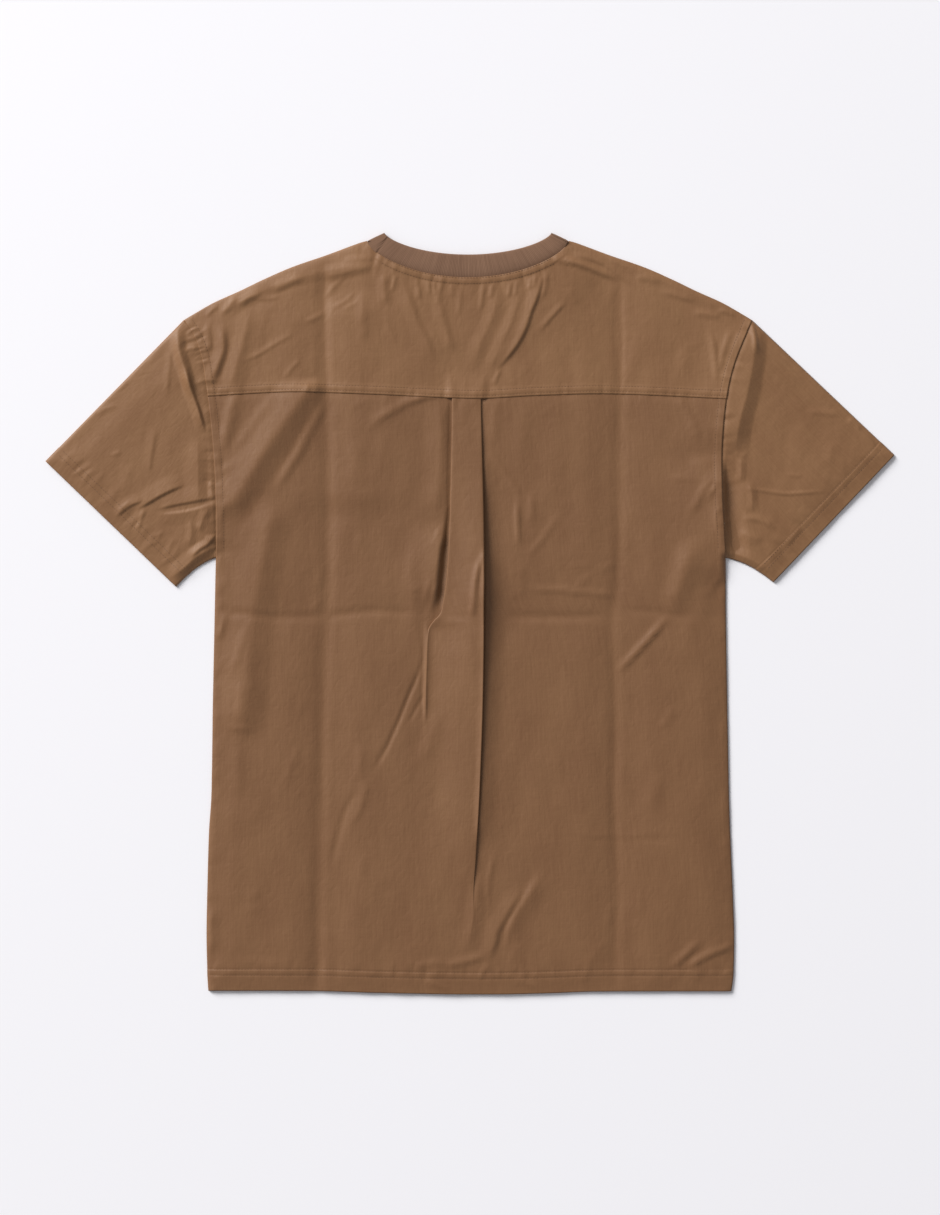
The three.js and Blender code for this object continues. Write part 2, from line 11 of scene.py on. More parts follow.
import bpy
import numpy as np
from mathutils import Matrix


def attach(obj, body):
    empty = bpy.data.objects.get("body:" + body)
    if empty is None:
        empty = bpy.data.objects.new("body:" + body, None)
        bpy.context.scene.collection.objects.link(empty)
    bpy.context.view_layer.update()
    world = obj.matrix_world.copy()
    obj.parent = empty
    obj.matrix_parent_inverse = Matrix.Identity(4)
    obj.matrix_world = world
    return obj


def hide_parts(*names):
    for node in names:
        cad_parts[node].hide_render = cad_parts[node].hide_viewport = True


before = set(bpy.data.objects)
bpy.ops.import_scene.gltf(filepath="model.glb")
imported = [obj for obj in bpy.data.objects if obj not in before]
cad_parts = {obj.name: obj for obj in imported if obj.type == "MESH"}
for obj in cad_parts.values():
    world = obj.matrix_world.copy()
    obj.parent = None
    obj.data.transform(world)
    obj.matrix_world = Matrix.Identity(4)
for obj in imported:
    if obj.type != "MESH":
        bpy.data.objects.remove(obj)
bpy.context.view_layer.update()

MM = 0.001
bpy.ops.object.select_all(action="DESELECT")

# %% [markdown]
# ## Camera and light
# The shirt was seen from straight above, so the camera looks down from far away, where a long lens shows
# the plan without leaning edges. The light is soft and comes from the upper left, low enough for creases
# to show. The floor is one large plane, pale and matt.

# %% Place the camera
VIEW_HEIGHT = 1239.3 * MM
VIEW_CENTRE_Y = 6.1 * MM
CAMERA_HEIGHT = 3.2
SENSOR = 36

bpy.ops.object.camera_add(location=(0, VIEW_CENTRE_Y, CAMERA_HEIGHT), rotation=(0, 0, 0))
camera = bpy.context.object
camera.data.sensor_fit = "VERTICAL"
camera.data.sensor_height = SENSOR
camera.data.lens = SENSOR * CAMERA_HEIGHT / VIEW_HEIGHT
camera.data.clip_end = 50
bpy.context.scene.camera = camera
bpy.context.scene.view_settings.view_transform = "Standard"
print("lens", round(camera.data.lens, 1))

# %% Light the scene
SKY = (0.97, 0.98, 1.0)
SKY_STRENGTH = 0.34
WINDOW_POWER = 146
WINDOW_SIZE = 2.4
WINDOW_PLACE = (-3.5, 3.3, 2.56)
WINDOW_TINT = (1.0, 0.985, 0.965)
SUN_STRENGTH = 3.08
SUN_SOFTNESS = 34

world = bpy.data.worlds.new("soft_sky")
bpy.context.scene.world = world
world.use_nodes = True
background = world.node_tree.nodes["Background"]
background.inputs["Color"].default_value = (*SKY, 1)
background.inputs["Strength"].default_value = SKY_STRENGTH


def aim_area_light(name, place, size, power, colour):
    """A square soft light that faces the middle of the shirt."""
    bpy.ops.object.light_add(type="AREA", location=place)
    light = bpy.context.object
    light.name = name
    light.data.size = size
    light.data.energy = power
    light.data.color = colour
    away = -np.array(place)
    light.rotation_euler = (
        math.atan2(math.hypot(away[0], away[1]), -away[2]),
        0,
        math.atan2(away[1], away[0]) - math.pi / 2,
    )
    return light


window = aim_area_light("window", WINDOW_PLACE, WINDOW_SIZE, WINDOW_POWER, WINDOW_TINT)
bpy.ops.object.light_add(type="SUN", location=WINDOW_PLACE, rotation=window.rotation_euler)
sun = bpy.context.object
sun.name = "daylight"
sun.data.energy = SUN_STRENGTH
sun.data.color = WINDOW_TINT
sun.data.angle = math.radians(SUN_SOFTNESS)

# %% Lay the floor
bpy.ops.mesh.primitive_plane_add(size=12, location=(0, 0, -0.0002))
floor = bpy.context.object
floor.name = "floor"
bpy.ops.object.transform_apply(location=True, rotation=True, scale=True)

paper = bpy.data.materials.new("pale_floor")
paper.use_nodes = True
paper_shader = paper.node_tree.nodes["Principled BSDF"]
paper_shader.inputs["Base Color"].default_value = (0.9, 0.895, 0.935, 1)
paper_shader.inputs["Roughness"].default_value = 0.9
paper_shader.inputs["Specular IOR Level"].default_value = 0.2
floor.data.materials.append(paper)

# %% [markdown]
# ## Finishes
# The body is a light plain weave. From a step away its threads show as fine streaks along and across the
# grain, with a low sheen, so the colour and the bump both come from noise that is stretched both ways on
# the cloth's own UV map, which is laid out in metres. The rib is a softer knit with its ribs in the mesh.


# %% Cloth material
def streaks(tree, uv, along, across, seed):
    """Noise stretched into threads: along and across are streaks per millimetre."""
    mapping = tree.nodes.new("ShaderNodeMapping")
    mapping.inputs["Location"].default_value = (seed * 0.37, seed * 0.61, 0)
    mapping.inputs["Scale"].default_value = (along / MM, across / MM, 1)
    noise = tree.nodes.new("ShaderNodeTexNoise")
    noise.inputs["Scale"].default_value = 1
    noise.inputs["Detail"].default_value = 2
    tree.links.new(uv, mapping.inputs["Vector"])
    tree.links.new(mapping.outputs["Vector"], noise.inputs["Vector"])
    return noise.outputs["Fac"]


def blend_values(tree, operation, first, second):
    node = tree.nodes.new("ShaderNodeMath")
    node.operation = operation
    for socket, value in zip(node.inputs, (first, second)):
        if hasattr(value, "links"):
            tree.links.new(value, socket)
        else:
            socket.default_value = value
    return node.outputs["Value"]


def cloth_material(name, dark, light, roughness, sheen, threads_up, threads_across=0, crumple=0):
    """Woven or knitted cloth whose colour wanders between dark and light.

    threads_up and threads_across are the strengths of its upright and crosswise streaks. crumple is the
    height of its finest wrinkles, in millimetres.
    """
    material = bpy.data.materials.new(name)
    material.use_nodes = True
    tree = material.node_tree
    shader = tree.nodes["Principled BSDF"]
    uv = tree.nodes.new("ShaderNodeUVMap").outputs["UV"]
    weft = streaks(tree, uv, 0.05, 0.9, 1)
    warp = streaks(tree, uv, 0.8, 0.03, 2)
    grain = streaks(tree, uv, 1.4, 1.4, 3)
    patch = streaks(tree, uv, 0.03, 0.012, 4)
    wrinkle = streaks(tree, uv, 0.11, 0.075, 5)
    up = blend_values(tree, "MULTIPLY", warp, threads_up)
    over = blend_values(tree, "MULTIPLY", weft, threads_across)
    threads = blend_values(tree, "ADD", up, over)
    threads = blend_values(tree, "ADD", threads, blend_values(tree, "MULTIPLY", grain, 0.5))
    tone = blend_values(tree, "ADD", threads, blend_values(tree, "MULTIPLY", patch, 0.8))
    ramp = tree.nodes.new("ShaderNodeValToRGB")
    ramp.color_ramp.elements[0].position = 0.2
    ramp.color_ramp.elements[0].color = (*dark, 1)
    ramp.color_ramp.elements[1].position = 0.8
    ramp.color_ramp.elements[1].color = (*light, 1)
    tone = blend_values(tree, "SUBTRACT", tone, 0.5 * (threads_up + threads_across + 1.3) - 0.5)
    tree.links.new(tone, ramp.inputs["Fac"])
    tree.links.new(ramp.outputs["Color"], shader.inputs["Base Color"])
    shader.inputs["Roughness"].default_value = roughness
    shader.inputs["Specular IOR Level"].default_value = 0.42
    shader.inputs["Sheen Weight"].default_value = sheen
    shader.inputs["Sheen Roughness"].default_value = 0.45
    shader.inputs["Sheen Tint"].default_value = (1.0, 0.9, 0.8, 1)
    ridges = blend_values(tree, "ABSOLUTE", blend_values(tree, "SUBTRACT", wrinkle, 0.5), 0)
    fine = blend_values(tree, "MULTIPLY", threads, 0.02 * MM)
    broad = blend_values(tree, "MULTIPLY", ridges, crumple * MM)
    relief = tree.nodes.new("ShaderNodeBump")
    relief.inputs["Strength"].default_value = 1
    relief.inputs["Distance"].default_value = 1
    tree.links.new(blend_values(tree, "ADD", fine, broad), relief.inputs["Height"])
    tree.links.new(relief.outputs["Normal"], shader.inputs["Normal"])
    return material


WEAVE = {"roughness": 0.57, "sheen": 0.06, "threads_across": 0.4, "crumple": 0.5}
brown_weave = cloth_material(
    "brown_weave", (0.202, 0.0942, 0.0385), (0.243, 0.1216, 0.0522), threads_up=0.7, **WEAVE
)
# The back's weave is the same cloth painted about an eighth darker, as painted shade for the light that falls
# off toward the hem.
painted_shade_back_weave = cloth_material(
    "painted_shade_back_weave", (0.1765, 0.0800, 0.0324), (0.2116, 0.1027, 0.0438), threads_up=0.8, **WEAVE
)
brown_rib = cloth_material(
    "brown_rib", (0.170, 0.088, 0.050), (0.225, 0.122, 0.072), roughness=0.85, sheen=0.12, threads_up=1.2
)
brown_thread = cloth_material(
    "brown_thread", (0.120, 0.056, 0.026), (0.185, 0.092, 0.044), 0.6, 0.1, threads_up=0.2, threads_across=0.2
)
print("finishes:", [material.name for material in (brown_weave, painted_shade_back_weave, brown_rib, brown_thread)])

# %% [markdown]
# ## The plan
# These are the shirt's sizes as it lies: the same tables that its solids are made from. Every edge is a
# smooth curve through the rows of its table.


# %% Sizes of the shirt
def table(columns, *rows):
    """A table with named columns, from its rows of numbers."""
    return [dict(zip(columns.split(), row)) for row in rows]


SIDES = {"left": -1, "right": 1}
AXIS_X = -2.1
OPENING_HALF, OPENING_TOP = 85.2, 388.1
BACK_OPENING_DROP, FRONT_OPENING_DROP = 22.4, 80
NECK_HALF, NECK_TOP = 102.3, 380.0
BACK_NECK_DROP, FRONT_NECK_DROP = 37.0, 96
BACK_FULLNESS, FRONT_FULLNESS = 0.68, 0.55
SHOULDER_Y, UNDERARM_Y, BODY_FOOT = 298.9, 57.0, -388.1
HEM_DEPTH, CUFF_HEM_DEPTH = 22.0, 20.0

SHOULDER = table(
    "x y",
    (102.3, 380.0), (111.0, 377.4), (144.0, 365.2), (179.5, 352.9), (207.5, 340.7), (233.0, 328.4),
    (260.0, 316.2), (282.0, 303.6), (289.6, 298.9),
)

BODY_EDGE = table(
    "y left right",
    (298.9, -291.7, 287.5), (283.0, -281.4, 280.6), (262.0, -273.6, 271.9), (240.0, -269.8, 265.2),
    (215.0, -266.4, 260.6), (185.0, -263.2, 257.6), (150.0, -260.5, 256.4), (116.0, -259.0, 257.1),
    (90.0, -258.4, 258.8), (57.0, -259.0, 260.4), (-2.0, -260.2, 260.8), (-88.0, -262.0, 262.2),
    (-186.0, -263.6, 264.0), (-223.0, -266.0, 265.2), (-296.0, -268.0, 268.3), (-333.0, -268.4, 269.3),
    (-369.0, -267.5, 268.4), (-388.1, -266.2, 265.8),
)

HEM_EDGE = table(
    "x y",
    (-280.0, -384.5), (-157.0, -384.8), (-97.0, -386.6), (-20.0, -388.1), (36.0, -388.1), (87.0, -386.8),
    (124.0, -385.4), (280.0, -385.0),
)

YOKE_SEAM = table(
    "x y",
    (-280.0, 220.5), (-187.0, 225.4), (-103.0, 223.3), (-20.0, 219.6), (13.0, 219.0), (68.0, 222.0),
    (146.0, 223.7), (280.0, 217.5),
)

SLEEVES = {
    "left": {"top": (-432.5, 155.0), "under": (-299.9, 27.5)},
    "right": {"top": (432.5, 161.2), "under": (309.6, 32.1)},
}
UNDERARM_BOW = 4.0


# %% Curves through the tables
def curve_through(xs, ys, at):
    """A smooth curve through the points (xs, ys), read at `at`. The curve stops at its ends."""
    xs, ys, at = (np.asarray(values, float) for values in (xs, ys, at))
    slopes = np.gradient(ys)
    slopes[1:-1] = (ys[2:] - ys[:-2]) / (xs[2:] - xs[:-2])
    slopes[0] = (ys[1] - ys[0]) / (xs[1] - xs[0])
    slopes[-1] = (ys[-1] - ys[-2]) / (xs[-1] - xs[-2])
    low = np.clip(np.searchsorted(xs, at, side="right") - 1, 0, len(xs) - 2)
    span = xs[low + 1] - xs[low]
    t = np.clip((at - xs[low]) / span, 0, 1)
    ease = t * t * (3 - 2 * t)
    bend = t * (1 - t) * ((1 - t) * slopes[low] - t * slopes[low + 1]) * span
    return ys[low] * (1 - ease) + ys[low + 1] * ease + bend


def read(table, by, out, at):
    """Column `out` of a table, at the value `at` of its column `by`."""
    rows = sorted(table, key=lambda row: row[by])
    return curve_through([row[by] for row in rows], [row[out] for row in rows], at)


def ease(value, low, high):
    """Smooth step from 0 at low to 1 at high."""
    t = np.clip((np.asarray(value, float) - low) / (high - low), 0, 1)
    return t * t * (3 - 2 * t)


def mix(a, b, share):
    return a + (b - a) * share


def unit(vectors):
    return vectors / np.linalg.norm(vectors, axis=-1, keepdims=True)


def length_along(path):
    """Length of a path up to each of its points."""
    return np.concatenate([[0], np.cumsum(np.linalg.norm(np.diff(path, axis=0), axis=1))])


def points_at(at, reached, path):
    """Points of a path at the lengths in at."""
    return np.stack([np.interp(at, reached, path[:, k]) for k in (0, 1)], axis=-1)


def hem_y(x):
    return read(HEM_EDGE, "x", "y", x)


def yoke_seam_y(x):
    return read(YOKE_SEAM, "x", "y", x)


def body_edge(side, y):
    return read(BODY_EDGE, "y", side, y)


def neck_curve(half, top, drop, fullness, angles):
    """Points of a curve across the neck, at angles from -90 at its left end to 90 at its right."""
    turned = np.radians(angles)
    x = AXIS_X + half * np.sin(turned)
    y = top - drop * np.maximum(np.cos(turned), 0) ** (2 * fullness)
    return np.stack([x, y], axis=-1)


print("chest", round(float(body_edge("right", UNDERARM_Y) - body_edge("left", UNDERARM_Y)), 1), "mm")

# Rows of stitches: their distances from the edge that they hold
YOKE_ROWS = (2.6, 8.2)
NECK_ROWS = (1.3, 7.0)
ARMHOLE_ROW = 7.5
HEM_ROWS = (16.0, 22.0)
CUFF_ROWS = (14.0, 20.0)

# %% [markdown]
# ## Heights
# The cloth lies in two layers. The upper one stands a little above the lower, swells between the creases
# left by packing, and has folds. Each fold or crease is a row in a table: its height, how far it reaches
# on the side that faces the light, how far on the side that doesn't, and its path. A short reach makes
# that side steep, and a pair of reaches changes along the path. A negative height makes a trough. Paths
# are counted in steps of 1.02 mm, to the right and down, and MIDDLE is where the plan's origin lies.

# %% Layers
CLOTH = 0.55
ABOVE_TABLE = 0.1
LOWER, LOWER_HEM = ABOVE_TABLE + CLOTH / 2, ABOVE_TABLE + CLOTH
UPPER = 2.3
EDGE_LEVEL = 1.2
EDGE_ROLL = 7.0

# %% Folds and creases
STEP = 1.02
MIDDLE = (470, 613.5)

# Columns: height, reach toward the light, reach away from it, path
YOKE_CREASES = [
    (1.2, 16, 9, [(214, 322), (240, 303), (270, 288), (300, 278), (335, 270), (372, 262)]),
    (1.7, 12, 7, [(318, 277), (338, 275), (352, 271), (366, 268), (378, 266)]),
    (0.8, 6, 4, [(340, 263), (352, 260), (364, 259), (376, 259)]),
    (1.3, 9, 5, [(270, 291), (284, 286), (295, 281), (307, 279)]),
    (1.4, 8, 5, [(238, 307), (248, 299), (264, 293)]),
    (0.7, 5, 4, [(254, 300), (266, 299), (281, 298)]),
    (1.1, 6, 5, [(220, 315), (229, 307), (237, 296)]),
    (0.8, 5, 4, [(207, 318), (213, 309), (220, 306)]),
    (2.6, 11, 5.5, [(222, 322), (223, 335), (224, 348), (220, 362), (213, 380), (210, 388)]),
    (1.1, 6, 4.5, [(207, 322), (209, 338), (211, 353)]),
    (2.0, 13, 15, [(252, 305), (248, 322), (244, 340), (239, 358), (234, 376), (229, 392), (226, 404)]),
    (0.6, 10, 8, [(262, 308), (262, 325), (258, 345), (252, 372)]),
    (0.6, 5, 3.4, [(239, 363), (258, 355), (276, 344), (298, 332)]),
    (0.5, 4, 3.2, [(283, 382), (291, 370), (302, 359)]),
    (0.5, 3.4, 3.2, [(330, 309), (345, 302), (356, 289)]),
    (0.4, 3.2, 3, [(342, 311), (352, 306), (361, 301)]),
    (0.7, 4, 5, [(304, 322), (313, 319), (326, 312)]),
    (0.6, 4, 4, [(325, 299), (333, 288), (346, 276)]),
    (0.8, 9, 9, [(362, 283), (363, 302), (363, 325), (364, 352)]),
    (1.3, 9, 8, [(384, 272), (384, 288), (387, 308)]),
    (0.4, 6, 6, [(384, 312), (390, 330), (396, 346)]),
    (1.2, 12, 6, [(401, 277), (404, 288), (409, 300), (414, 313), (418, 326), (425, 338), (430, 350),
        (436, 368)]),
    (1.0, 5, 4.5, [(416, 277), (418, 286), (419, 302)]),
    (0.8, 3.4, 3.2, [(428, 280), (430, 296)]),
    (0.9, 3.2, 3, [(433, 280), (436, 298)]),
    (1.0, 5, 4, [(442, 272), (442, 283), (439, 294), (438, 308)]),
    (1.2, 9, 7, [(439, 298), (441, 313), (445, 327), (450, 343), (456, 356)]),
    (0.5, 3.4, 3.4, [(452, 284), (452, 298)]),
    (0.6, 4, 4, [(461, 285), (460, 300), (457, 320)]),
    (0.9, 4, 4, [(484, 281), (482, 298), (480, 314)]),
    (0.8, 3.4, 3.4, [(493, 282), (490, 300)]),
    (1.2, 11, 9, [(500, 280), (498, 296), (494, 312), (488, 328), (480, 345), (475, 362), (472, 378)]),
    (0.9, 3.4, 3.4, [(511, 281), (508, 299)]),
    (0.8, 3.4, 3.4, [(517, 280), (515, 298)]),
    (1.2, 9, 9, [(522, 279), (519, 296), (515, 312), (509, 328), (501, 345), (493, 362), (485, 382)]),
    (0.8, 3.2, 3, [(531, 277), (529, 291)]),
    (0.8, 3, 3, [(535, 275), (533, 290)]),
    (2.1, 13, 2.6, [(543, 268), (540, 286), (536, 300), (531, 312), (527, 325), (521, 338), (514, 349),
        (506, 359), (494, 373)]),
    (0.9, 4, 3.4, [(500, 368), (497, 377), (493, 387)]),
    (0.9, 5, 5, [(546, 270), (545, 286), (541, 302)]),
    (0.9, 6, 3.4, [(568, 301), (559, 309), (549, 320), (538, 333)]),
    (0.8, 3.4, 3.4, [(396, 274), (394, 284), (391, 294)]),
    (2.8, 7, 5, [(550, 262), (563, 261), (577, 264), (592, 269), (606, 275), (622, 281)]),
    (1.5, 6, 4, [(562, 255), (585, 258), (600, 263), (612, 270), (624, 279), (636, 288)]),
    (1.0, 14, 10, [(570, 246), (600, 257), (635, 270), (670, 285), (705, 300), (738, 317)]),
    (0.8, 6, 5, [(634, 278), (648, 279), (660, 284)]),
    (1.1, 7, 5, [(657, 290), (676, 296), (698, 302)]),
    (1.0, 6, 6, [(690, 313), (704, 314), (722, 317)]),
    (0.8, 4, 4, [(716, 311), (726, 312), (736, 317)]),
    (0.5, 8, 8, [(566, 288), (573, 297), (578, 306)]),
    (1.1, 6, 4, [(709, 328), (713, 345), (715, 362), (716, 384)]),
    (0.9, 4, 4, [(733, 326), (727, 340), (722, 356), (718, 376)]),
    (0.5, 10, 10, [(690, 338), (685, 356), (682, 374)]),
    (0.5, 10, 12, [(632, 340), (632, 362), (628, 386)]),
]

BACK_CREASES = [
    (2.4, 8, (16, 7), [(240, 384), (234, 400), (230, 416), (227, 433), (223, 456)]),
    (4.9, (34, 28), (24, 22), [(318, 350), (313, 372), (308, 388), (297, 407), (287, 420), (276, 436),
        (264, 453), (253, 472), (243, 488), (232, 505), (224, 522)]),
    (0.9, 6, 6, [(276, 392), (264, 409), (252, 425), (240, 442), (226, 460)]),
    (0.6, 4, 5, [(236, 462), (226, 468), (219, 474)]),
    (2.0, 3, 7, [(331, 390), (317, 416), (307, 434), (298, 451), (288, 468), (272, 495)]),
    (0.6, 3, 5, [(305, 436), (302, 450), (296, 464)]),
    (0.6, 3.2, 3.4, [(254, 484), (246, 497), (240, 507)]),
    (0.9, 6, 7, [(230, 498), (224, 508), (220, 522)]),
    (0.4, 6, 6, [(248, 522), (243, 536), (240, 552)]),
    (3.6, 28, 24, [(276, 496), (267, 540), (259, 580), (253, 620), (249, 660), (246, 700), (243, 740)]),
    (0.9, 5, 4, [(247, 622), (243, 640), (238, 655), (232, 676)]),
    (0.9, 5, 4.5, [(240, 678), (241, 700), (238, 724)]),
    (0.8, 5, 4.5, [(226, 727), (240, 728), (256, 729)]),
    (1.1, 6, 6, [(227, 608), (223, 624), (218, 642)]),
    (0.7, 12, 10, [(237, 740), (238, 765), (240, 800)]),
    (1.6, 6, 14, [(212, 905), (210, 930), (212, 955)]),
    (0.6, 4, 4, [(243, 909), (258, 910)]),
    (0.6, 5, 5, [(254, 888), (257, 898)]),
    (0.5, 3.4, 3.4, [(310, 563), (305, 577)]),
    (0.8, 3.4, 3.4, [(321, 597), (314, 610)]),
    (0.5, 5, 5, [(324, 560), (321, 575), (318, 590)]),
    (1.5, 9, 3.2, [(450, 397), (430, 398), (415, 401), (400, 408), (386, 416), (376, 423), (366, 433)]),
    (0.4, 5, 5, [(372, 400), (360, 404), (348, 408)]),
    (0.8, 12, 12, [(358, 438), (356, 465), (356, 492)]),
    (0.4, 8, 8, [(384, 430), (382, 446), (382, 462)]),
    (0.6, 5, 4, [(362, 533), (358, 550)]),
    (0.5, 14, 16, [(346, 500), (343, 540), (345, 580)]),
    (0.4, 6, 6, [(304, 695), (300, 712)]),
    (0.6, 5, 3.6, [(302, 741), (295, 758), (288, 775), (283, 792)]),
    (-1.5, 3.4, 3, [(424, 655), (417, 677), (408, 698), (401, 716), (393, 734), (385, 751), (370, 775)]),
    (-1.0, 3, 3, [(425, 693), (416, 709), (408, 724)]),
    (0.9, 8, 10, [(360, 742), (360, 762), (357, 782)]),
    (-1.4, 4, 3.4, [(360, 783), (352, 798), (345, 813), (340, 830), (335, 850), (329, 873)]),
    (1.1, 4, 3.6, [(366, 776), (364, 798), (358, 813), (348, 829)]),
    (0.6, 8, 9, [(361, 852), (361, 872), (360, 890)]),
    (0.6, 4, 4, [(323, 926), (333, 942)]),
    (1.8, 18, 11, [(440, 394), (441, 430), (440, 465), (438, 495), (435, 520)]),
    (1.0, 18, 12, [(412, 540), (411, 575), (413, 610), (417, 645)]),
    (4.0, 36, 3, [(444, 520), (443, 535), (440, 551), (437.5, 575), (435, 597), (429, 615)]),
    (1.3, 4, 2.6, [(432, 600), (429, 615), (427.5, 630), (426.8, 660), (426, 690), (425.5, 730)]),
    (-1.0, 4, 2.6, [(424, 628), (424, 660), (423, 690), (423, 724)]),
    (0.6, 3.4, 3.4, [(432, 576), (427, 590), (424, 604)]),
    (0.4, 3.4, 3.4, [(408, 590), (416, 589), (426, 585)]),
    (0.7, 3, 3, [(440, 528), (436, 540)]),
    (2.2, 5, 2.8, [(487, 551), (480, 563), (476, 580), (474, 600), (472, 626)]),
    (0.8, 12, 12, [(434, 706), (436, 722), (430, 742), (424, 764)]),
    (0.5, 4, 4, [(474, 688), (477, 702)]),
    (0.4, 14, 14, [(448, 640), (446, 680), (448, 720)]),
    (2.2, 3, 21, [(483, 540), (484, 600), (484, 650), (483, 700), (481, 750), (479, 800), (477, 850)]),
    (0.6, 6, 9, [(494, 395), (494, 420), (494, 448)]),
    (0.8, 11, 16, [(521, 395), (522, 425), (520, 465)]),
    (0.4, 14, 14, [(560, 396), (558, 425), (556, 450)]),
    (0.5, 4, 4, [(556, 402), (547, 411), (541, 418)]),
    (0.4, 3.4, 3.4, [(574, 402), (584, 409), (592, 412)]),
    (1.1, 4.5, 3.6, [(486, 450), (500, 466), (510, 480), (518, 492), (523, 508)]),
    (1.8, 4, 3.4, [(517.5, 496), (517.5, 522), (519, 549)]),
    (1.4, 3.6, 5, [(530, 491), (531, 508), (530, 527)]),
    (1.1, 3.6, 3.2, [(563, 509), (551, 527), (541, 541), (526, 559)]),
    (0.6, 14, 6, [(522, 560), (521, 590), (521, 604)]),
    (0.7, 4, 3.4, [(592, 572), (584, 581), (577, 590)]),
    (1.2, 5, 3.4, [(518, 588), (540, 590), (556, 590), (575, 592), (598, 594), (624, 597)]),
    (0.6, 4, 3.6, [(616, 563), (605, 568), (598, 572)]),
    (0.4, 3.4, 3.4, [(570, 566), (585, 566), (592, 564)]),
    (0.5, 4, 4, [(655, 508), (646, 519)]),
    (1.5, 3.4, 3.6, [(672, 397), (686, 410), (692, 422), (699, 443)]),
    (0.5, 3, 3, [(681, 424), (688, 431), (696, 441)]),
    (0.8, 10, 12, [(712, 468), (700, 464), (688, 466)]),
    (1.8, 5, 3, [(712, 477), (703, 491), (697, 502), (690, 517)]),
    (1.1, 4, 3.2, [(717, 483), (711, 493), (704, 503)]),
    (0.8, 4, 4, [(716, 506), (715, 520), (717, 535)]),
    (0.5, 5, 5, [(668, 480), (684, 478), (700, 480)]),
    (2.4, 16, 18, [(694, 534), (688, 556), (683, 573), (677, 592), (670, 618)]),
    (0.6, 6, 5, [(722, 575), (714, 585), (706, 598)]),
    (2.8, 3.4, 4, [(671, 612), (656, 630), (645, 642), (633, 655), (614, 677)]),
    (0.6, 4, 4, [(682, 616), (696, 617), (712, 617)]),
    (0.7, 6, 6, [(676, 706), (668, 718), (660, 731)]),
    (0.6, 12, 12, [(664, 770), (656, 790), (650, 812)]),
    (0.5, 5, 5, [(638, 890), (640, 905), (634, 918)]),
    (0.8, 4, 4, [(614, 900), (610, 912), (608, 926)]),
    (0.6, 6, 4, [(574, 835), (590, 836), (612, 837), (650, 838)]),
    (0.5, 14, 14, [(690, 610), (688, 640), (686, 670)]),
    (0.4, 3.6, 3.6, [(584, 643), (592, 648), (600, 655)]),
    (1.5, 10, 12, [(476, 868), (477, 890), (474, 912), (470, 936), (466, 955)]),
    (0.8, 4, 4, [(496, 850), (491, 868), (488, 888), (488, 905)]),
    (1.9, 14, 4, [(526, 884), (514, 903), (505, 917), (498, 930), (494, 945), (487, 966)]),
    (2.0, 5, 17, [(543, 868), (533, 886), (526, 898), (518, 910), (510, 926), (506, 952)]),
    (0.6, 8, 12, [(522, 940), (516, 950), (510, 962)]),
    (1.4, 7, 4, [(440, 965), (460, 963), (474, 959), (490, 956)]),
    (0.8, 5, 5, [(492, 962), (484, 970), (481, 982)]),
    (0.7, 4, 4, [(516, 978), (528, 983), (540, 989)]),
    (0.8, 5, 5, [(412, 966), (428, 964), (448, 961)]),
    (0.7, 4, 4, [(424, 980), (438, 985), (452, 991)]),
    (0.7, 4, 4, [(590, 960), (585, 972), (581, 984)]),
    (0.5, 5, 5, [(604, 940), (594, 955), (588, 966)]),
    (2.1, 5, 3.2, [(703, 938), (690, 950), (682, 958), (671, 969)]),
    (2.1, 5, 3.2, [(738, 944), (717, 951), (702, 958), (683, 969)]),
    (0.5, 5, 5, [(722, 935), (715, 944), (708, 952)]),
    (0.5, 4, 4, [(206, 968), (214, 978), (226, 972)]),
    (0.4, 5, 6, [(232, 960), (262, 962), (290, 962)]),
]

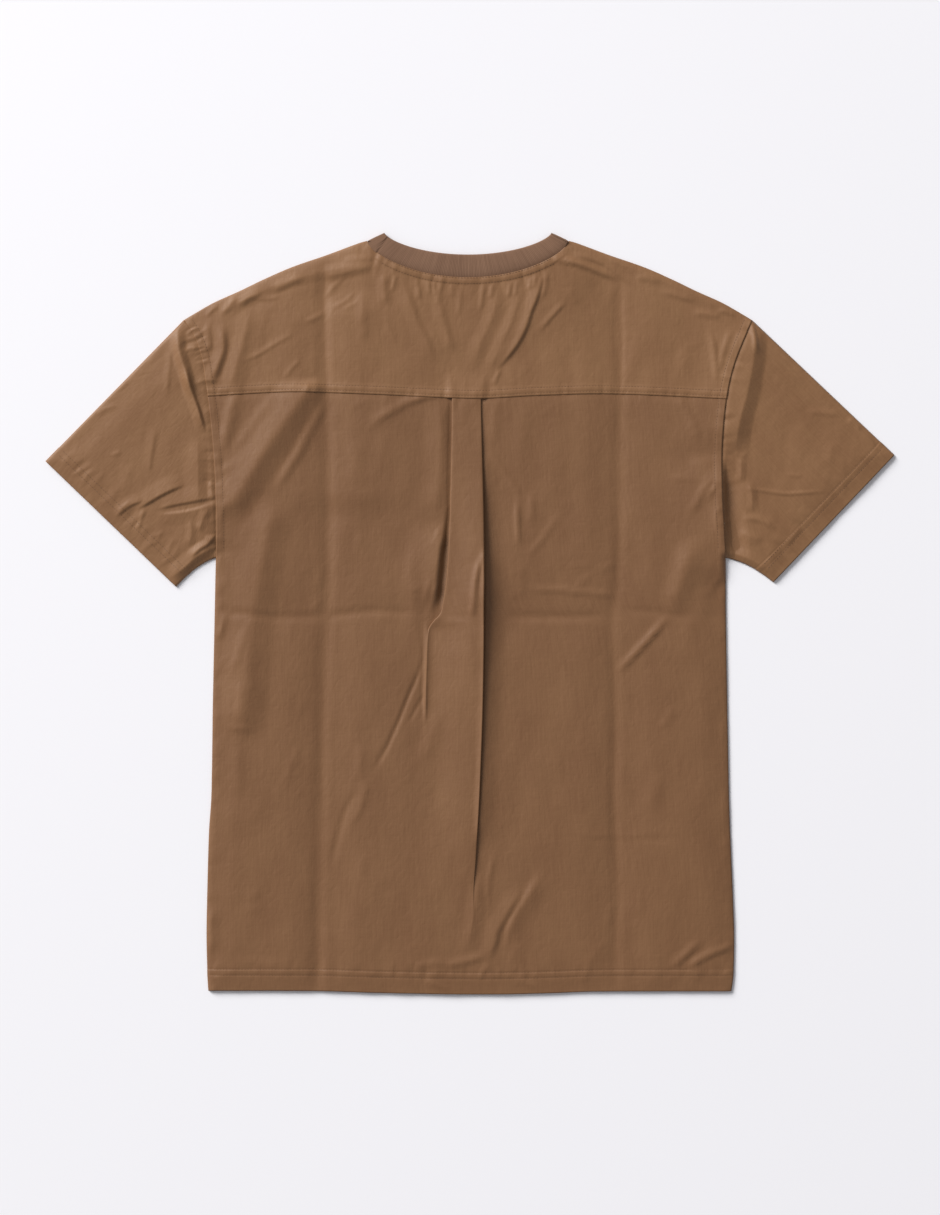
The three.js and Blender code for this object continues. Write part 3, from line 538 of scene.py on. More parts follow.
SLEEVE_CREASES = [
    (4.4, 9, (9, 6), [(178, 322), (178.5, 338), (179.5, 350), (183, 362), (187, 374), (190, 386),
        (193, 400)]),
    (3.4, 9, 3, [(185, 364), (190, 384), (194, 397), (198.5, 410), (206, 436)]),
    (1.0, 3, 3.4, [(184, 353), (190, 349), (199, 348)]),
    (0.7, 7, 3.6, [(171, 334), (171, 355), (168.5, 378), (167, 402)]),
    (0.8, 9, 4, [(157, 425), (154, 440), (151, 458), (149, 478)]),
    (0.7, 5, 5, [(128, 378), (121, 386), (114, 391)]),
    (0.6, 5, 5, [(118, 405), (106, 409), (96, 416)]),
    (0.5, 4, 4, [(122, 451), (112, 457)]),
    (0.5, 10, 9, [(130, 462), (127, 480), (122, 498)]),
    (0.6, 4, 4, [(84, 468), (77, 473), (70, 476)]),
    (2.0, 16, 2.2, [(187, 484), (172, 490), (160, 496), (148, 503), (136, 510)]),
    (1.3, 10, 2.2, [(144, 500), (130, 506), (116, 517)]),
    (0.9, 4, 3.6, [(146, 507), (142, 518), (137, 533)]),
    (1.5, 16, 2.2, [(154, 510), (174, 505), (190, 502), (206, 499), (222, 497)]),
    (1.3, 3, 13, [(156, 515), (178, 513.5), (194, 510.5), (207, 506.5), (220, 502)]),
    (1.8, 16, 10, [(198, 436), (198.5, 475), (199, 512)]),
    (1.0, 5, 5, [(212, 478), (212, 492), (215, 502)]),
    (1.1, 7, 6, [(190, 518), (192, 532), (188, 548)]),
    (1.3, 7, 6, [(209, 508), (203, 520), (199, 534)]),
    (1.8, 7, 2.8, [(217, 532), (209, 543), (199, 550), (190, 559)]),
    (0.6, 6, 6, [(176, 535), (170, 548), (166, 560)]),
    (2.9, 12, 7, [(168, 580), (184, 568), (194, 559), (203, 553), (220, 545)]),
    (0.4, 5, 5, [(150, 540), (144, 550), (138, 560)]),
    (1.4, 5, 3.4, [(748, 312), (752, 326), (755, 341), (757, 358)]),
    (4.6, (50, 60), (13, 15), [(753, 320), (754, 340), (753, 358), (750, 377), (746, 396), (741, 414),
        (737, 433), (735, 458)]),
    (0.6, 4, 4, [(733, 452), (740, 456), (748, 455)]),
    (1.1, 6, 6, [(740, 455), (741, 468), (740, 484)]),
    (1.3, 7, 7, [(746, 480), (751, 492), (752, 514)]),
    (0.8, 3.2, 3, [(740, 489), (756, 490), (770, 492), (786, 494), (804, 493), (828, 491)]),
    (0.4, 3.4, 3.4, [(784, 474), (796, 476), (804, 475)]),
    (1.0, 6, 5, [(740, 518), (755, 519), (766, 523), (777, 531)]),
    (1.0, 7, 9, [(738, 530), (748, 536), (764, 541)]),
    (1.8, 9, 6, [(718, 549), (743, 556.5), (758, 564), (777, 577)]),
    (4.4, 60, 5, [(721.5, 452), (721.5, 480), (722, 505), (723, 530), (725, 556), (726, 590)]),
    (0.7, 6, 5, [(804, 411), (822, 413), (842, 415)]),
    (0.9, 5, 5, [(846, 418), (855, 424), (862, 431)]),
    (0.5, 10, 10, [(832, 440), (830, 456), (826, 468)]),
    (0.4, 16, 16, [(800, 420), (799, 450), (800, 480)]),
    (0.5, 6, 5, [(800, 524), (794, 534), (786, 546)]),
]

PACKING_CREASES = [
    (-1.5, 12, 8, [(325, 255), (325, 330), (327, 400), (328.5, 460), (328.5, 520), (328, 580),
        (327.5, 615), (326, 640), (324, 680), (322.5, 740), (321.5, 800), (320, 860), (319, 910),
        (318.5, 950), (318, 1000)]),
    (-0.6, 4, 4, [(326, 612), (325, 650), (323, 700), (322, 760), (321, 820), (320, 860)]),
    (-1.2, 9, 6, [(620, 275), (620, 330), (620.5, 400), (619, 450), (619.5, 520), (619, 570),
        (616, 600), (613, 615), (612.5, 640), (615, 670), (616, 740), (614.5, 800), (617, 860),
        (617.5, 900), (616, 950), (616, 1000)]),
    (-0.5, 4, 4, [(620, 395), (619, 450), (619, 530), (618, 590)]),
    (-0.6, 4, 4, [(613, 640), (615, 680), (615, 750), (614, 800), (617, 870)]),
    (-1.0, 7, 7, [(206, 612), (235, 613), (270, 617), (300, 617), (330, 616), (370, 611), (400, 612),
        (425, 616)]),
    (-0.6, 5, 5, [(440, 616), (462, 617), (482, 617)]),
    (-1.1, 8, 7, [(498, 616), (530, 617), (565, 617), (600, 617), (612, 619)]),
    (-0.7, 6, 6, [(614, 606), (630, 610), (655, 612), (680, 616), (705, 617), (730, 617)]),
    (-0.5, 5, 5, [(574, 838), (600, 838), (640, 839), (690, 840)]),
    (2.8, 115, 105, [(343, 290), (348, 340), (350, 420), (348, 520)]),
]

PLEAT_GAPS = [
    (-1.4, 3, 3, [(450.5, 386), (450.5, 430), (450, 465), (449.5, 505), (448, 535)]),
    (-2.4, 3, 7, [(450, 500), (448, 520), (446, 540), (444, 560), (442.5, 580), (440, 600), (436, 622)]),
    (1.1, 3, 15, [(484, 440), (485, 500), (485.5, 560), (485, 620), (484.5, 680), (483.5, 720),
        (481, 795), (478, 840)]),
]

ARMHOLE_GAPS = [
    (-3.4, 6, 16, [(727, 462), (728, 480), (729, 500), (731, 520), (734, 540), (736, 572)]),
    (-1.2, 9, 4, [(216, 495), (216, 520), (216, 545), (217, 565)]),
]

PACKING_X = (-147.9, 151.0)
PACKING_Y = -3.0
SWELL = 1.7
CREASE_SCALE = 0.92
TOWARD_LIGHT = (-0.707, 0.707)
FADE_SHARE, LONGEST_FADE = 0.3, 30  # a crease dies away over this share of its length, up to this length


# %% Distance from a path
def smooth_path(points, steps=6):
    """The points of a path, joined by a smooth curve."""
    points = np.array(points, float)
    if len(points) < 3:
        return points
    reached = length_along(points)
    at = np.linspace(0, reached[-1], steps * (len(points) - 1) + 1)
    return np.stack([curve_through(reached, points[:, k], at) for k in (0, 1)], axis=-1)


def near_path(path, x, y):
    """For each point: distance from a path, length along it and offset. Last, the path's own length."""
    best = np.full(x.shape, np.inf)
    along, off_x, off_y = np.zeros(x.shape), np.zeros(x.shape), np.zeros(x.shape)
    start = 0.0
    for (ax, ay), (bx, by) in zip(path[:-1], path[1:]):
        ux, uy = bx - ax, by - ay
        length = math.hypot(ux, uy)
        t = np.clip(((x - ax) * ux + (y - ay) * uy) / length**2, 0, 1)
        dx, dy = x - ax - t * ux, y - ay - t * uy
        distance = np.hypot(dx, dy)
        closer = distance < best
        best = np.where(closer, distance, best)
        along = np.where(closer, start + t * length, along)
        off_x = np.where(closer, dx, off_x)
        off_y = np.where(closer, dy, off_y)
        start += length
    return best, along, off_x, off_y, start


def from_paths(paths, x, y):
    """Distance from the nearer of two paths."""
    return np.minimum(*(near_path(path, x, y)[0] for path in paths.values()))


def close_to(path, reach, x, y):
    """The points in the box round a path."""
    low, high = path.min(axis=0) - reach, path.max(axis=0) + reach
    return (x > low[0]) & (x < high[0]) & (y > low[1]) & (y < high[1])


def in_plan(right, down):
    """Place in the plan, to a tenth of a millimetre, of a point counted in steps."""
    return round((right - MIDDLE[0]) * STEP, 1), round((MIDDLE[1] - down) * STEP, 1)


def crease_height(crease, x, y):
    """Height that one fold or crease gives to each point. It dies away at both ends of its path."""
    crest, lit, shaded, steps = crease
    path = smooth_path([in_plan(right, down) for right, down in steps])
    lit, shaded = np.broadcast_to(lit, 2), np.broadcast_to(shaded, 2)
    height = np.zeros(x.shape)
    close = close_to(path, max(*lit, *shaded), x, y)
    if not close.any():
        return height
    distance, along, off_x, off_y, length = near_path(path, x[close], y[close])
    faces_light = off_x * TOWARD_LIGHT[0] + off_y * TOWARD_LIGHT[1] > 0
    lit, shaded = (mix(*reach, along / length) for reach in (lit, shaded))
    share = np.clip(distance / np.where(faces_light, lit, shaded), 0, 1)
    profile = (1 - share) ** 1.4 * (1 + 0.4 * share)
    fade = min(FADE_SHARE * length, LONGEST_FADE)
    ends = ease(along, 0, fade) * ease(length - along, 0, fade)
    height[close] = CREASE_SCALE * crest * profile * ends
    return height


# %% Unevenness
LATTICE, LATTICE_MIDDLE = 128, 500.0


def unevenness(x, y, size_x, size_y, seed):
    """Smooth random heights from -1 to 1, whose bumps are about size_x by size_y."""
    lattice = np.random.RandomState(seed).uniform(-1, 1, (LATTICE, LATTICE))
    gx, gy = x / size_x + LATTICE_MIDDLE, y / size_y + LATTICE_MIDDLE
    ix, iy = np.floor(gx).astype(int), np.floor(gy).astype(int)
    tx, ty = ease(gx - ix, 0, 1), ease(gy - iy, 0, 1)

    def corner(dx, dy):
        return lattice[(ix + dx) % LATTICE, (iy + dy) % LATTICE]

    near = mix(corner(0, 0), corner(1, 0), tx)
    far = mix(corner(0, 1), corner(1, 1), tx)
    return mix(near, far, ty)


def seam_puckers(path, x, y, every, reach, height, seed):
    """Small gathers that run off from a seam. every is the distance between them along the seam."""
    result = np.zeros(x.shape)
    close = close_to(path, reach, x, y)
    if not close.any():
        return result
    distance, along, _, _, length = near_path(path, x[close], y[close])
    heights = np.zeros(distance.shape)
    random = np.random.RandomState(seed)
    for place in np.arange(every / 2, length, every):
        middle = place + random.uniform(-0.45, 0.45) * every
        width = every * random.uniform(0.22, 0.45)
        long = reach * random.uniform(0.35, 1.0)
        slant = random.uniform(-0.35, 0.35)
        size = height * random.uniform(-1, 1)
        across = (along - middle - slant * distance) / width
        heights += size * np.exp(-(across**2)) * (1 - ease(distance, 0.1 * long, long))
    result[close] = heights
    return result


# %% Outline and seams as paths
def cuff_frame(side):
    """The two ends of a cuff, the direction from its top to its underarm seam, and the direction inward."""
    top, under = (np.array(SLEEVES[side][end]) for end in ("top", "under"))
    way = unit(under - top)
    inward = np.array([-way[1], way[0]])
    return top, under, way, inward * -np.sign(inward[0] * SIDES[side])


def cuff_row(side, depth):
    """A straight row across a sleeve, depth away from the edge of its cuff."""
    top, under, way, inward = cuff_frame(side)
    return np.stack([top + way * 2 + inward * depth, under - way * 2 + inward * depth])


def line_across(start, stop, count, height):
    """A path across the shirt, whose y is a function of x."""
    x = np.linspace(start, stop, count)
    return np.stack([x, height(x)], axis=-1)


armhole_rows = np.linspace(UNDERARM_Y, SHOULDER_Y, 40)
SHOULDER_LINES, SIDE_SEAMS, ARMHOLES, CUFF_STITCH_LINES = {}, {}, {}, {}
for side, sign in SIDES.items():
    SHOULDER_LINES[side] = np.array([(AXIS_X + sign * row["x"], row["y"]) for row in SHOULDER])
    SIDE_SEAMS[side] = np.array([(row[side], row["y"]) for row in BODY_EDGE if row["y"] <= UNDERARM_Y])
    ARMHOLES[side] = np.stack([body_edge(side, armhole_rows), armhole_rows], axis=-1)
    CUFF_STITCH_LINES[side] = cuff_row(side, CUFF_HEM_DEPTH)
outline_halves = [
    np.concatenate([SHOULDER_LINES[side], [SLEEVES[side]["top"], SLEEVES[side]["under"]], SIDE_SEAMS[side]])
    for side in SIDES
]
OUTLINE = np.concatenate([outline_halves[0], outline_halves[1][::-1]])
YOKE_LINE = line_across(-267, 262, 60, yoke_seam_y)
NECK_LINE = neck_curve(NECK_HALF, NECK_TOP, BACK_NECK_DROP, BACK_FULLNESS, np.linspace(-90, 90, 41))
HEM_STITCH_LINE = line_across(-266, 266, 50, hem_y) + (0, HEM_DEPTH)
print("outline:", round(float(length_along(OUTLINE)[-1])), "mm round, without the hem and neck")


# %% Height of the upper layer
PACKING_REACH = 40  # the swell between packing creases starts over this distance
CROSS_SHARE = 0.55  # how much of the swell is left on the crease across
NECK_RISE = 0.9  # the cloth stands up where the neckband lies under it
SEAM_FADE = 16  # a crease dies away over this distance past the yoke's seam
SHOULDER_PART = 32  # row of the left armhole where its fine puckers begin

# Bumps of the cloth: height, size across and along the shirt, and seed
BUMPS = [(0.26, 17, 26, 2), (0.1, 7, 10, 3)]

# Puckers: the seam, the distance between two, their reach from the seam, their height and seed
PUCKERS = [(YOKE_LINE, 8, 20, 0.5, 11), (NECK_LINE, 7, 36, 0.7, 12), (HEM_STITCH_LINE, 9, 18, 0.6, 13)]
for seed, side in enumerate(SIDES):
    PUCKERS += [
        (ARMHOLES[side], 8, 24, 0.7, 20 + seed),
        (SIDE_SEAMS[side], 13, 20, 0.45, 30 + seed),
        (CUFF_STITCH_LINES[side], 9, 22, 0.6, 40 + seed),
    ]
PUCKERS.append((ARMHOLES["left"][SHOULDER_PART:], 4.5, 18, 0.9, 51))


def upper_heights(x, y):
    """How far the upper layer stands above where it would lie pressed flat."""
    from_upright = np.minimum(abs(x - PACKING_X[0]), abs(x - PACKING_X[1]))
    from_cross = abs(y - PACKING_Y)
    between = ease(from_upright, 0, PACKING_REACH) * mix(CROSS_SHARE, 1, ease(from_cross, 0, PACKING_REACH))
    from_edge = near_path(OUTLINE, x, y)[0]
    height = SWELL * between * ease(from_edge, 0, 30)
    to_neck = np.hypot((x - AXIS_X) / NECK_HALF, (y - NECK_TOP) / FRONT_NECK_DROP)
    height += NECK_RISE * (1 - ease(to_neck, 1.06, 1.4))
    above_seam = y - yoke_seam_y(x)
    for crease in [*SLEEVE_CREASES, *PACKING_CREASES]:
        height += crease_height(crease, x, y)
    for creases, past_seam in ((YOKE_CREASES, -above_seam), (BACK_CREASES, above_seam)):
        for crease in creases:
            height += crease_height(crease, x, y) * (1 - ease(past_seam, 0, SEAM_FADE))
    height += 0.5 * unevenness(x, y, 44, 70, 1) * ease(from_edge, 0, 20)
    for size, across, along, seed in BUMPS:
        height += size * unevenness(x, y, across, along, seed)
    for seam, every, reach, size, seed in PUCKERS:
        height += seam_puckers(seam, x, y, every, reach, size, seed)
    return height


CHANNEL_DEPTH, CHANNEL_WIDTH = 0.34, 0.75


def stitch_channel(distance, *rows):
    """The cloth is drawn in along each row of stitches, at these distances from an edge."""
    return -CHANNEL_DEPTH * sum(np.exp(-(((distance - row) / CHANNEL_WIDTH) ** 2)) for row in rows)


def rest_on_front(level, landing=1.6, soft=0.5):
    """Keeps the upper layer above the front panel, with a soft landing."""
    return np.where(level < landing, landing - soft + soft * np.exp((level - landing) / soft), level)


def roll_to_edge(level, from_edge, roll=EDGE_ROLL):
    """Lets the upper layer curve down to the lower one where they meet at the outline."""
    share = np.clip(from_edge / roll, 0, 1)
    return mix(EDGE_LEVEL, level, np.sqrt(1 - (1 - share) ** 2))


# %% [markdown]
# ## From a grid to cloth
# Each piece starts as Blender's own grid, with one point for each place in the plan. The points are moved
# to their places by code, the UV map gets the cloth's flat coordinates, and Solidify gives the wall its
# thickness. A hem is two layers of cloth, so its points are in a vertex group that makes the wall twice
# as thick there.


# %% Grid helpers
def spaced(start, stop, coarse, fine=None, near=(), reach=12.0):
    """Places from start to stop, coarse apart, and fine apart close to the places in near."""
    probe = np.linspace(start, stop, 2000)
    step = np.full(probe.shape, float(coarse))
    for place in near:
        step = np.minimum(step, mix(fine, coarse, ease(abs(probe - place), reach * 0.4, reach)))
    density = 1 / step
    count = np.concatenate([[0], np.cumsum((density[1:] + density[:-1]) / 2 * abs(np.diff(probe)))])
    total = max(2, int(round(count[-1])))
    return np.interp(np.linspace(0, count[-1], total + 1), count, probe)


def grid_piece(name, points, uv, material, hem=None, closed=False):
    """A grid whose points (rows, columns, 3) are in millimetres. closed merges its ends where they meet."""
    rows, columns = points.shape[:2]
    bpy.ops.mesh.primitive_grid_add(x_subdivisions=columns - 1, y_subdivisions=rows - 1, size=1)
    piece = bpy.context.object
    piece.name = name
    mesh = piece.data
    start = np.empty(len(mesh.vertices) * 3)
    mesh.vertices.foreach_get("co", start)
    start = start.reshape(-1, 3)
    column = np.rint((start[:, 0] + 0.5) * (columns - 1)).astype(int)
    row = np.rint((start[:, 1] + 0.5) * (rows - 1)).astype(int)
    mesh.vertices.foreach_set("co", (points[row, column] * MM).ravel())
    corner = np.empty(len(mesh.loops), int)
    mesh.loops.foreach_get("vertex_index", corner)
    mesh.uv_layers.active.data.foreach_set("uv", (uv[row[corner], column[corner]] * MM).ravel())
    mesh.materials.append(material)
    group = piece.vertex_groups.new(name="hem")
    group.add(list(range(len(mesh.vertices))), 0.5, "REPLACE")
    if hem is not None:
        group.add([int(k) for k in np.flatnonzero(hem[row, column])], 1.0, "REPLACE")
    if closed:
        bpy.ops.object.mode_set(mode="EDIT")
        bpy.ops.mesh.select_all(action="SELECT")
        bpy.ops.mesh.remove_doubles(threshold=0.01 * MM)
        bpy.ops.mesh.normals_make_consistent(inside=False)
        bpy.ops.object.mode_set(mode="OBJECT")
    bpy.ops.object.shade_smooth()
    piece.select_set(False)
    print(name, len(mesh.polygons), "faces, highest", round(float(points[..., 2].max()), 1), "mm")
    return piece


def lay_cloth(name, points, uv, hem=None, closed=False, weave=brown_weave):
    """Cloth from a grid of points: a sheet with thickness, and twice that in its hem."""
    piece = grid_piece(name, points, uv, weave, hem, closed)
    bpy.context.view_layer.objects.active = piece
    wall = piece.modifiers.new("wall", "SOLIDIFY")
    wall.thickness = 2 * CLOTH * MM
    wall.offset = 0
    wall.vertex_group = "hem"
    bpy.ops.object.modifier_apply(modifier=wall.name)
    return piece


def panel_plan(head, foot, foot_y, shares):
    """Plan of a panel, in rows from its foot to its head. Each row takes more of the head's shape.

    foot gives the height of its lower edge at each x, and foot_y is about where that edge meets the sides.
    """
    across = (head[:, 0] - head[0, 0]) / (head[-1, 0] - head[0, 0])
    plan = np.empty((len(shares), len(head), 2))
    straight = mix(head[0, 1], head[-1, 1], across)
    for i, share in enumerate(shares):
        left_y, right_y = (mix(foot(body_edge(side, foot_y)), SHOULDER_Y, share) for side in SIDES)
        left_x, right_x = body_edge("left", left_y), body_edge("right", right_y)
        plan[i, :, 0] = mix(left_x, right_x, across)
        foot_bow = foot(plan[i, :, 0]) - mix(foot(left_x), foot(right_x), across)
        bow = (head[:, 1] - straight) * share + foot_bow * (1 - share)
        plan[i, :, 1] = mix(left_y, right_y, across) + bow
    return plan


def head_edge(neck, shoulder_step):
    """Edge over one shoulder, round the neck and over the other shoulder."""
    margin = SHOULDER[-1]["x"] - margin_rows(ARMHOLE_ROW)[::-1]
    shoulder_x = np.concatenate([spaced(NECK_HALF + 0.3, margin[0], shoulder_step)[1:], margin[1:]])
    shoulder = np.stack([shoulder_x, read(SHOULDER, "x", "y", shoulder_x)], axis=-1)
    left = shoulder[::-1] * (-1, 1) + (AXIS_X, 0)
    right = shoulder + (AXIS_X, 0)
    return np.concatenate([left, neck, right])


def neck_angles(step):
    """Angles round the neck, set so that no two columns nearly touch where its edge is steep."""
    even = np.linspace(-1, 1, int(2.2 * NECK_HALF / step))
    return 0.75 * np.degrees(np.arcsin(even)) + 0.25 * 90 * even


def margin_rows(*stitched, first=1.2):
    """Distances of grid lines from a sewn edge: closer together beside each row of stitches."""
    lines = {0.0, first}
    for row in stitched:
        lines |= {row - 2.0, row - 0.9, row, row + 0.9, row + 2.0}
    lines = sorted(line for line in lines if line >= 0)
    kept = [lines[0]]
    for line in lines[1:]:
        while line - kept[-1] > 3.2:
            kept.append(kept[-1] + 2.4)
        if line - kept[-1] > 0.5:
            kept.append(line)
    return np.array(kept)


def respace(plan, from_foot, from_head, between):
    """Moves the rows of a plan, so that some keep set distances from its foot and from its head."""
    columns = []
    for path in plan.transpose(1, 0, 2):
        reached = length_along(path)
        middle = np.linspace(from_foot[-1], reached[-1] - from_head[-1], between + 1)[1:]
        at = np.concatenate([from_foot, middle, reached[-1] - from_head[::-1][1:]])
        columns.append(points_at(at, reached, path))
    return np.stack(columns, axis=1)


# %% [markdown]
# ## Front
# The front lies on the table, under everything, and all that shows of it is a line at the hem and sides.
# A coarse grid is enough, with a deep round neck in its head edge. It reaches the table, and its hem is
# turned up on the inside, so the thicker wall grows upward.

# %% Make the front
SEAM_GAP = 0.6
front_neck = neck_curve(
    NECK_HALF + SEAM_GAP, NECK_TOP - SEAM_GAP, FRONT_NECK_DROP + SEAM_GAP, FRONT_FULLNESS, neck_angles(7)
)
front_shares = spaced(0, 1, 0.016, 0.004, near=[0.032], reach=0.02)
front_plan = panel_plan(head_edge(front_neck, 8), hem_y, BODY_FOOT, front_shares)
front_in_hem = front_plan[..., 1] < hem_y(front_plan[..., 0]) + HEM_DEPTH
front_points = np.dstack([front_plan, np.where(front_in_hem, LOWER_HEM, LOWER)])
front = lay_cloth("front_panel", front_points, front_plan, hem=front_in_hem)

# %% [markdown]
# ## Back
# The back is one panel with a box pleat in its middle. Going across it, the cloth runs in under the
# pleat, turns back, turns again at the pleat's edge and lies on top as the strip that shows. Lower down
# the folds let go one after the other. Each row of the grid follows that path, worked out from a short
# table of the pleat's sizes.

# %% Pleat table
PLEAT = table(
    "y left right under_l under_r turn_l turn_r bend_l bend_r",
    (226, -18.4, 11.2, 13.0, 13.0, 180, 180, 0.5, 0.5),
    (200, -18.4, 11.6, 12.6, 12.8, 180, 180, 0.6, 0.5),
    (150, -19.3, 12.9, 11.5, 12.5, 178, 176, 0.8, 0.75),
    (116, -20.2, 13.8, 11.0, 12.0, 174, 170, 0.9, 1.05),
    (75, -21.4, 14.6, 9.0, 11.5, 168, 165, 0.9, 1.4),
    (34, -24.2, 14.8, 7.0, 11.0, 164, 162, 0.8, 1.6),
    (14, -27.0, 14.5, 5.0, 10.5, 160, 160, 0.7, 1.8),
    (-1, -30.4, 14.4, 3.0, 10.0, 150, 160, 0.7, 1.7),
    (-9, -37.5, 14.4, 1.5, 9.8, 110, 160, 0.7, 1.6),
    (-18, -42.5, 14.4, 0.8, 9.5, 50, 160, 0.7, 1.5),
    (-50, -44.5, 14.0, 0.8, 8.5, 20, 162, 0.7, 1.2),
    (-108, -45.9, 12.8, 0.6, 6.5, 9, 166, 0.7, 1.0),
    (-185, -46.0, 9.8, 0.5, 4.0, 2, 168, 0.6, 0.7),
    (-250, -45.0, 6.0, 0.5, 1.0, 1.5, 130, 0.5, 0.5),
    (-285, -44.5, 4.0, 0.5, 0.8, 1.5, 30, 0.5, 0.5),
    (-350, -43.0, 6.0, 0.5, 0.5, 1.5, 1.5, 0.5, 0.5),
    (-392, -43.0, 8.0, 0.5, 0.5, 1.5, 1.5, 0.5, 0.5),
)
TURN_STEPS = 7
LEG_STEPS = 5
TUCK = 1.6  # how far the back reaches in under the yoke's edge


# %% Path across the pleat
def pleat_fold(edge, under, turn, bend):
    """One fold of the pleat, from the panel to the strip: positions across it and heights."""
    angle = math.radians(turn)
    strip_from = edge + bend + CLOTH / 2
    panel_to = strip_from - 2 * bend * math.sin(angle) - under * math.cos(angle)
    heading = np.linspace(0, angle, TURN_STEPS)
    first = np.stack([panel_to + bend * np.sin(heading), bend * (1 - np.cos(heading))])
    leg = np.linspace(0, under, LEG_STEPS)[1:-1]
    second = np.stack([first[0, -1] + leg * math.cos(angle), first[1, -1] + leg * math.sin(angle)])
    turn_from = first[:, -1] + under * np.array([math.cos(angle), math.sin(angle)])
    back = heading[::-1]
    third = np.stack([
        turn_from[0] + bend * (math.sin(angle) - np.sin(back)),
        turn_from[1] + bend * (np.cos(back) - math.cos(angle)),
    ])
    path = np.concatenate([first, second, third], axis=1)
    even = np.linspace(path[:, 0] - (4, 0), path[:, -1] + (4, 0), path.shape[1]).T
    return mix(path, even, 1 - ease(turn, 4, 16))


def back_row(share, outer_columns, strip_columns):
    """One row across the back: its x and y, and how high each point lies above the panel."""
    def y_at(x):
        return mix(hem_y(x), yoke_seam_y(x) + TUCK, share)

    left_x, right_x = (float(body_edge(side, y_at(body_edge(side, 0)))) for side in ("left", "right"))
    sizes = {key: float(read(PLEAT, "y", key, y_at(0))) for key in PLEAT[0] if key != "y"}
    left = pleat_fold(sizes["left"], max(sizes["under_l"], 0.3), sizes["turn_l"], sizes["bend_l"])
    right = pleat_fold(-sizes["right"], max(sizes["under_r"], 0.3), sizes["turn_r"], sizes["bend_r"])
    right = right[:, ::-1] * [[-1], [1]]
    outer_left = mix(left_x, left[0, 0] - 0.8, outer_columns)
    outer_right = mix(right_x, right[0, -1] + 0.8, outer_columns)[::-1]
    strip = mix(left[0, -1], right[0, 0], strip_columns)
    strip_rise = mix(left[1, -1], right[1, 0], ease(strip_columns, 0, 1))
    x = np.concatenate([outer_left, left[0], strip[1:-1], right[0], outer_right])
    rise = np.concatenate([outer_left * 0, left[1], strip_rise[1:-1], right[1], outer_right * 0])
    return x, y_at(x), rise


# %% Rows and columns of the back
BACK_LENGTH = 607  # from the hem to the yoke seam
PANEL_WIDTH = 228  # from the side to the pleat

back_margin = margin_rows(*HEM_ROWS)
back_body = spaced(back_margin[-1], BACK_LENGTH, 3.1, 1.8, near=[BACK_LENGTH], reach=10)
back_shares = np.concatenate([back_margin, back_body[1:]]) / BACK_LENGTH
side_margin = margin_rows(ARMHOLE_ROW)
panel = spaced(side_margin[-1], PANEL_WIDTH, 3.5, 2.0, near=[PANEL_WIDTH], reach=70)
outer_columns = np.concatenate([side_margin, panel[1:]]) / PANEL_WIDTH
strip_columns = spaced(0, 1, 1 / 16)
rows = [back_row(share, outer_columns, strip_columns) for share in back_shares]
back_x, back_y, back_rise = (np.array([row[k] for row in rows]) for k in range(3))
print("back:", back_x.shape, "points")


# %% Make the back
# How far the margins stand up beside the armholes, above the hem, and over the yoke seam and round the neck
ARMHOLE_MARGIN, HEM_STEP, YOKE_MARGIN, NECK_MARGIN = 0.4, 0.15, 0.45, 0.6
UNDER_YOKE = 0.3  # how far the back dips in under the yoke


def margin_beside_armhole(x, y):
    """The stitched margin that stands up along both armholes."""
    distance = from_paths(ARMHOLES, x, y)
    return ARMHOLE_MARGIN * (1 - ease(distance, 7.6, 9.0)) + stitch_channel(distance, ARMHOLE_ROW)


field = upper_heights(back_x, back_y)
column = np.arange(back_x.shape[1])
on_panel = np.minimum(column, column[::-1]) < len(outer_columns)
for gap in PLEAT_GAPS:
    field += crease_height(gap, back_x, back_y) * on_panel
below_seam = yoke_seam_y(back_x) - back_y
above_hem = back_y - hem_y(back_x)
level = UPPER + field + margin_beside_armhole(back_x, back_y) - UNDER_YOKE * (1 - ease(below_seam, 0.5, 6))
level += HEM_STEP * (1 - ease(above_hem, HEM_DEPTH, HEM_DEPTH + 6)) + stitch_channel(above_hem, *HEM_ROWS)
level = roll_to_edge(rest_on_front(level), from_paths(SIDE_SEAMS, back_x, back_y))
back_in_hem = back_y < hem_y(back_x) + HEM_DEPTH
back_points = np.dstack([back_x, back_y, level + back_rise])
step_x, step_up = np.diff(back_x, axis=1, prepend=back_x[:, :1]), np.diff(back_rise, axis=1, prepend=0)
cloth_x = np.cumsum(np.hypot(step_x, step_up), axis=1)
# The back takes the darker weave, whose colour is painted shade.
back = lay_cloth("back_panel", back_points, np.dstack([cloth_x, back_y]), hem=back_in_hem, weave=painted_shade_back_weave)

# %% [markdown]
# ## Yoke
# The yoke covers the shoulders, from the folded edge at the shoulder line down to its seam across the
# back. Its lower edge is turned under and stitched twice, so it stands a little above the back, and it
# climbs over the three layers of the pleat at its middle. The margin round the neck stands up in the same
# way.

# %% Make the yoke
YOKE_FOOT_Y = 220
YOKE_GAP = 0.3  # between the yoke and the neckband
EDGE_DIP = 0.4  # how far the turned-under edge bends down at the seam


def over_pleat(x, y):
    """How far the yoke climbs over the folded layers of the pleat."""
    top = PLEAT[0]
    outside = np.maximum(np.maximum(top["left"] - x, x - top["right"]), 0)
    return 4 * top["bend_l"] * (1 - ease(outside, 0, 9)) * (1 - ease(y - yoke_seam_y(x), 2, 30))


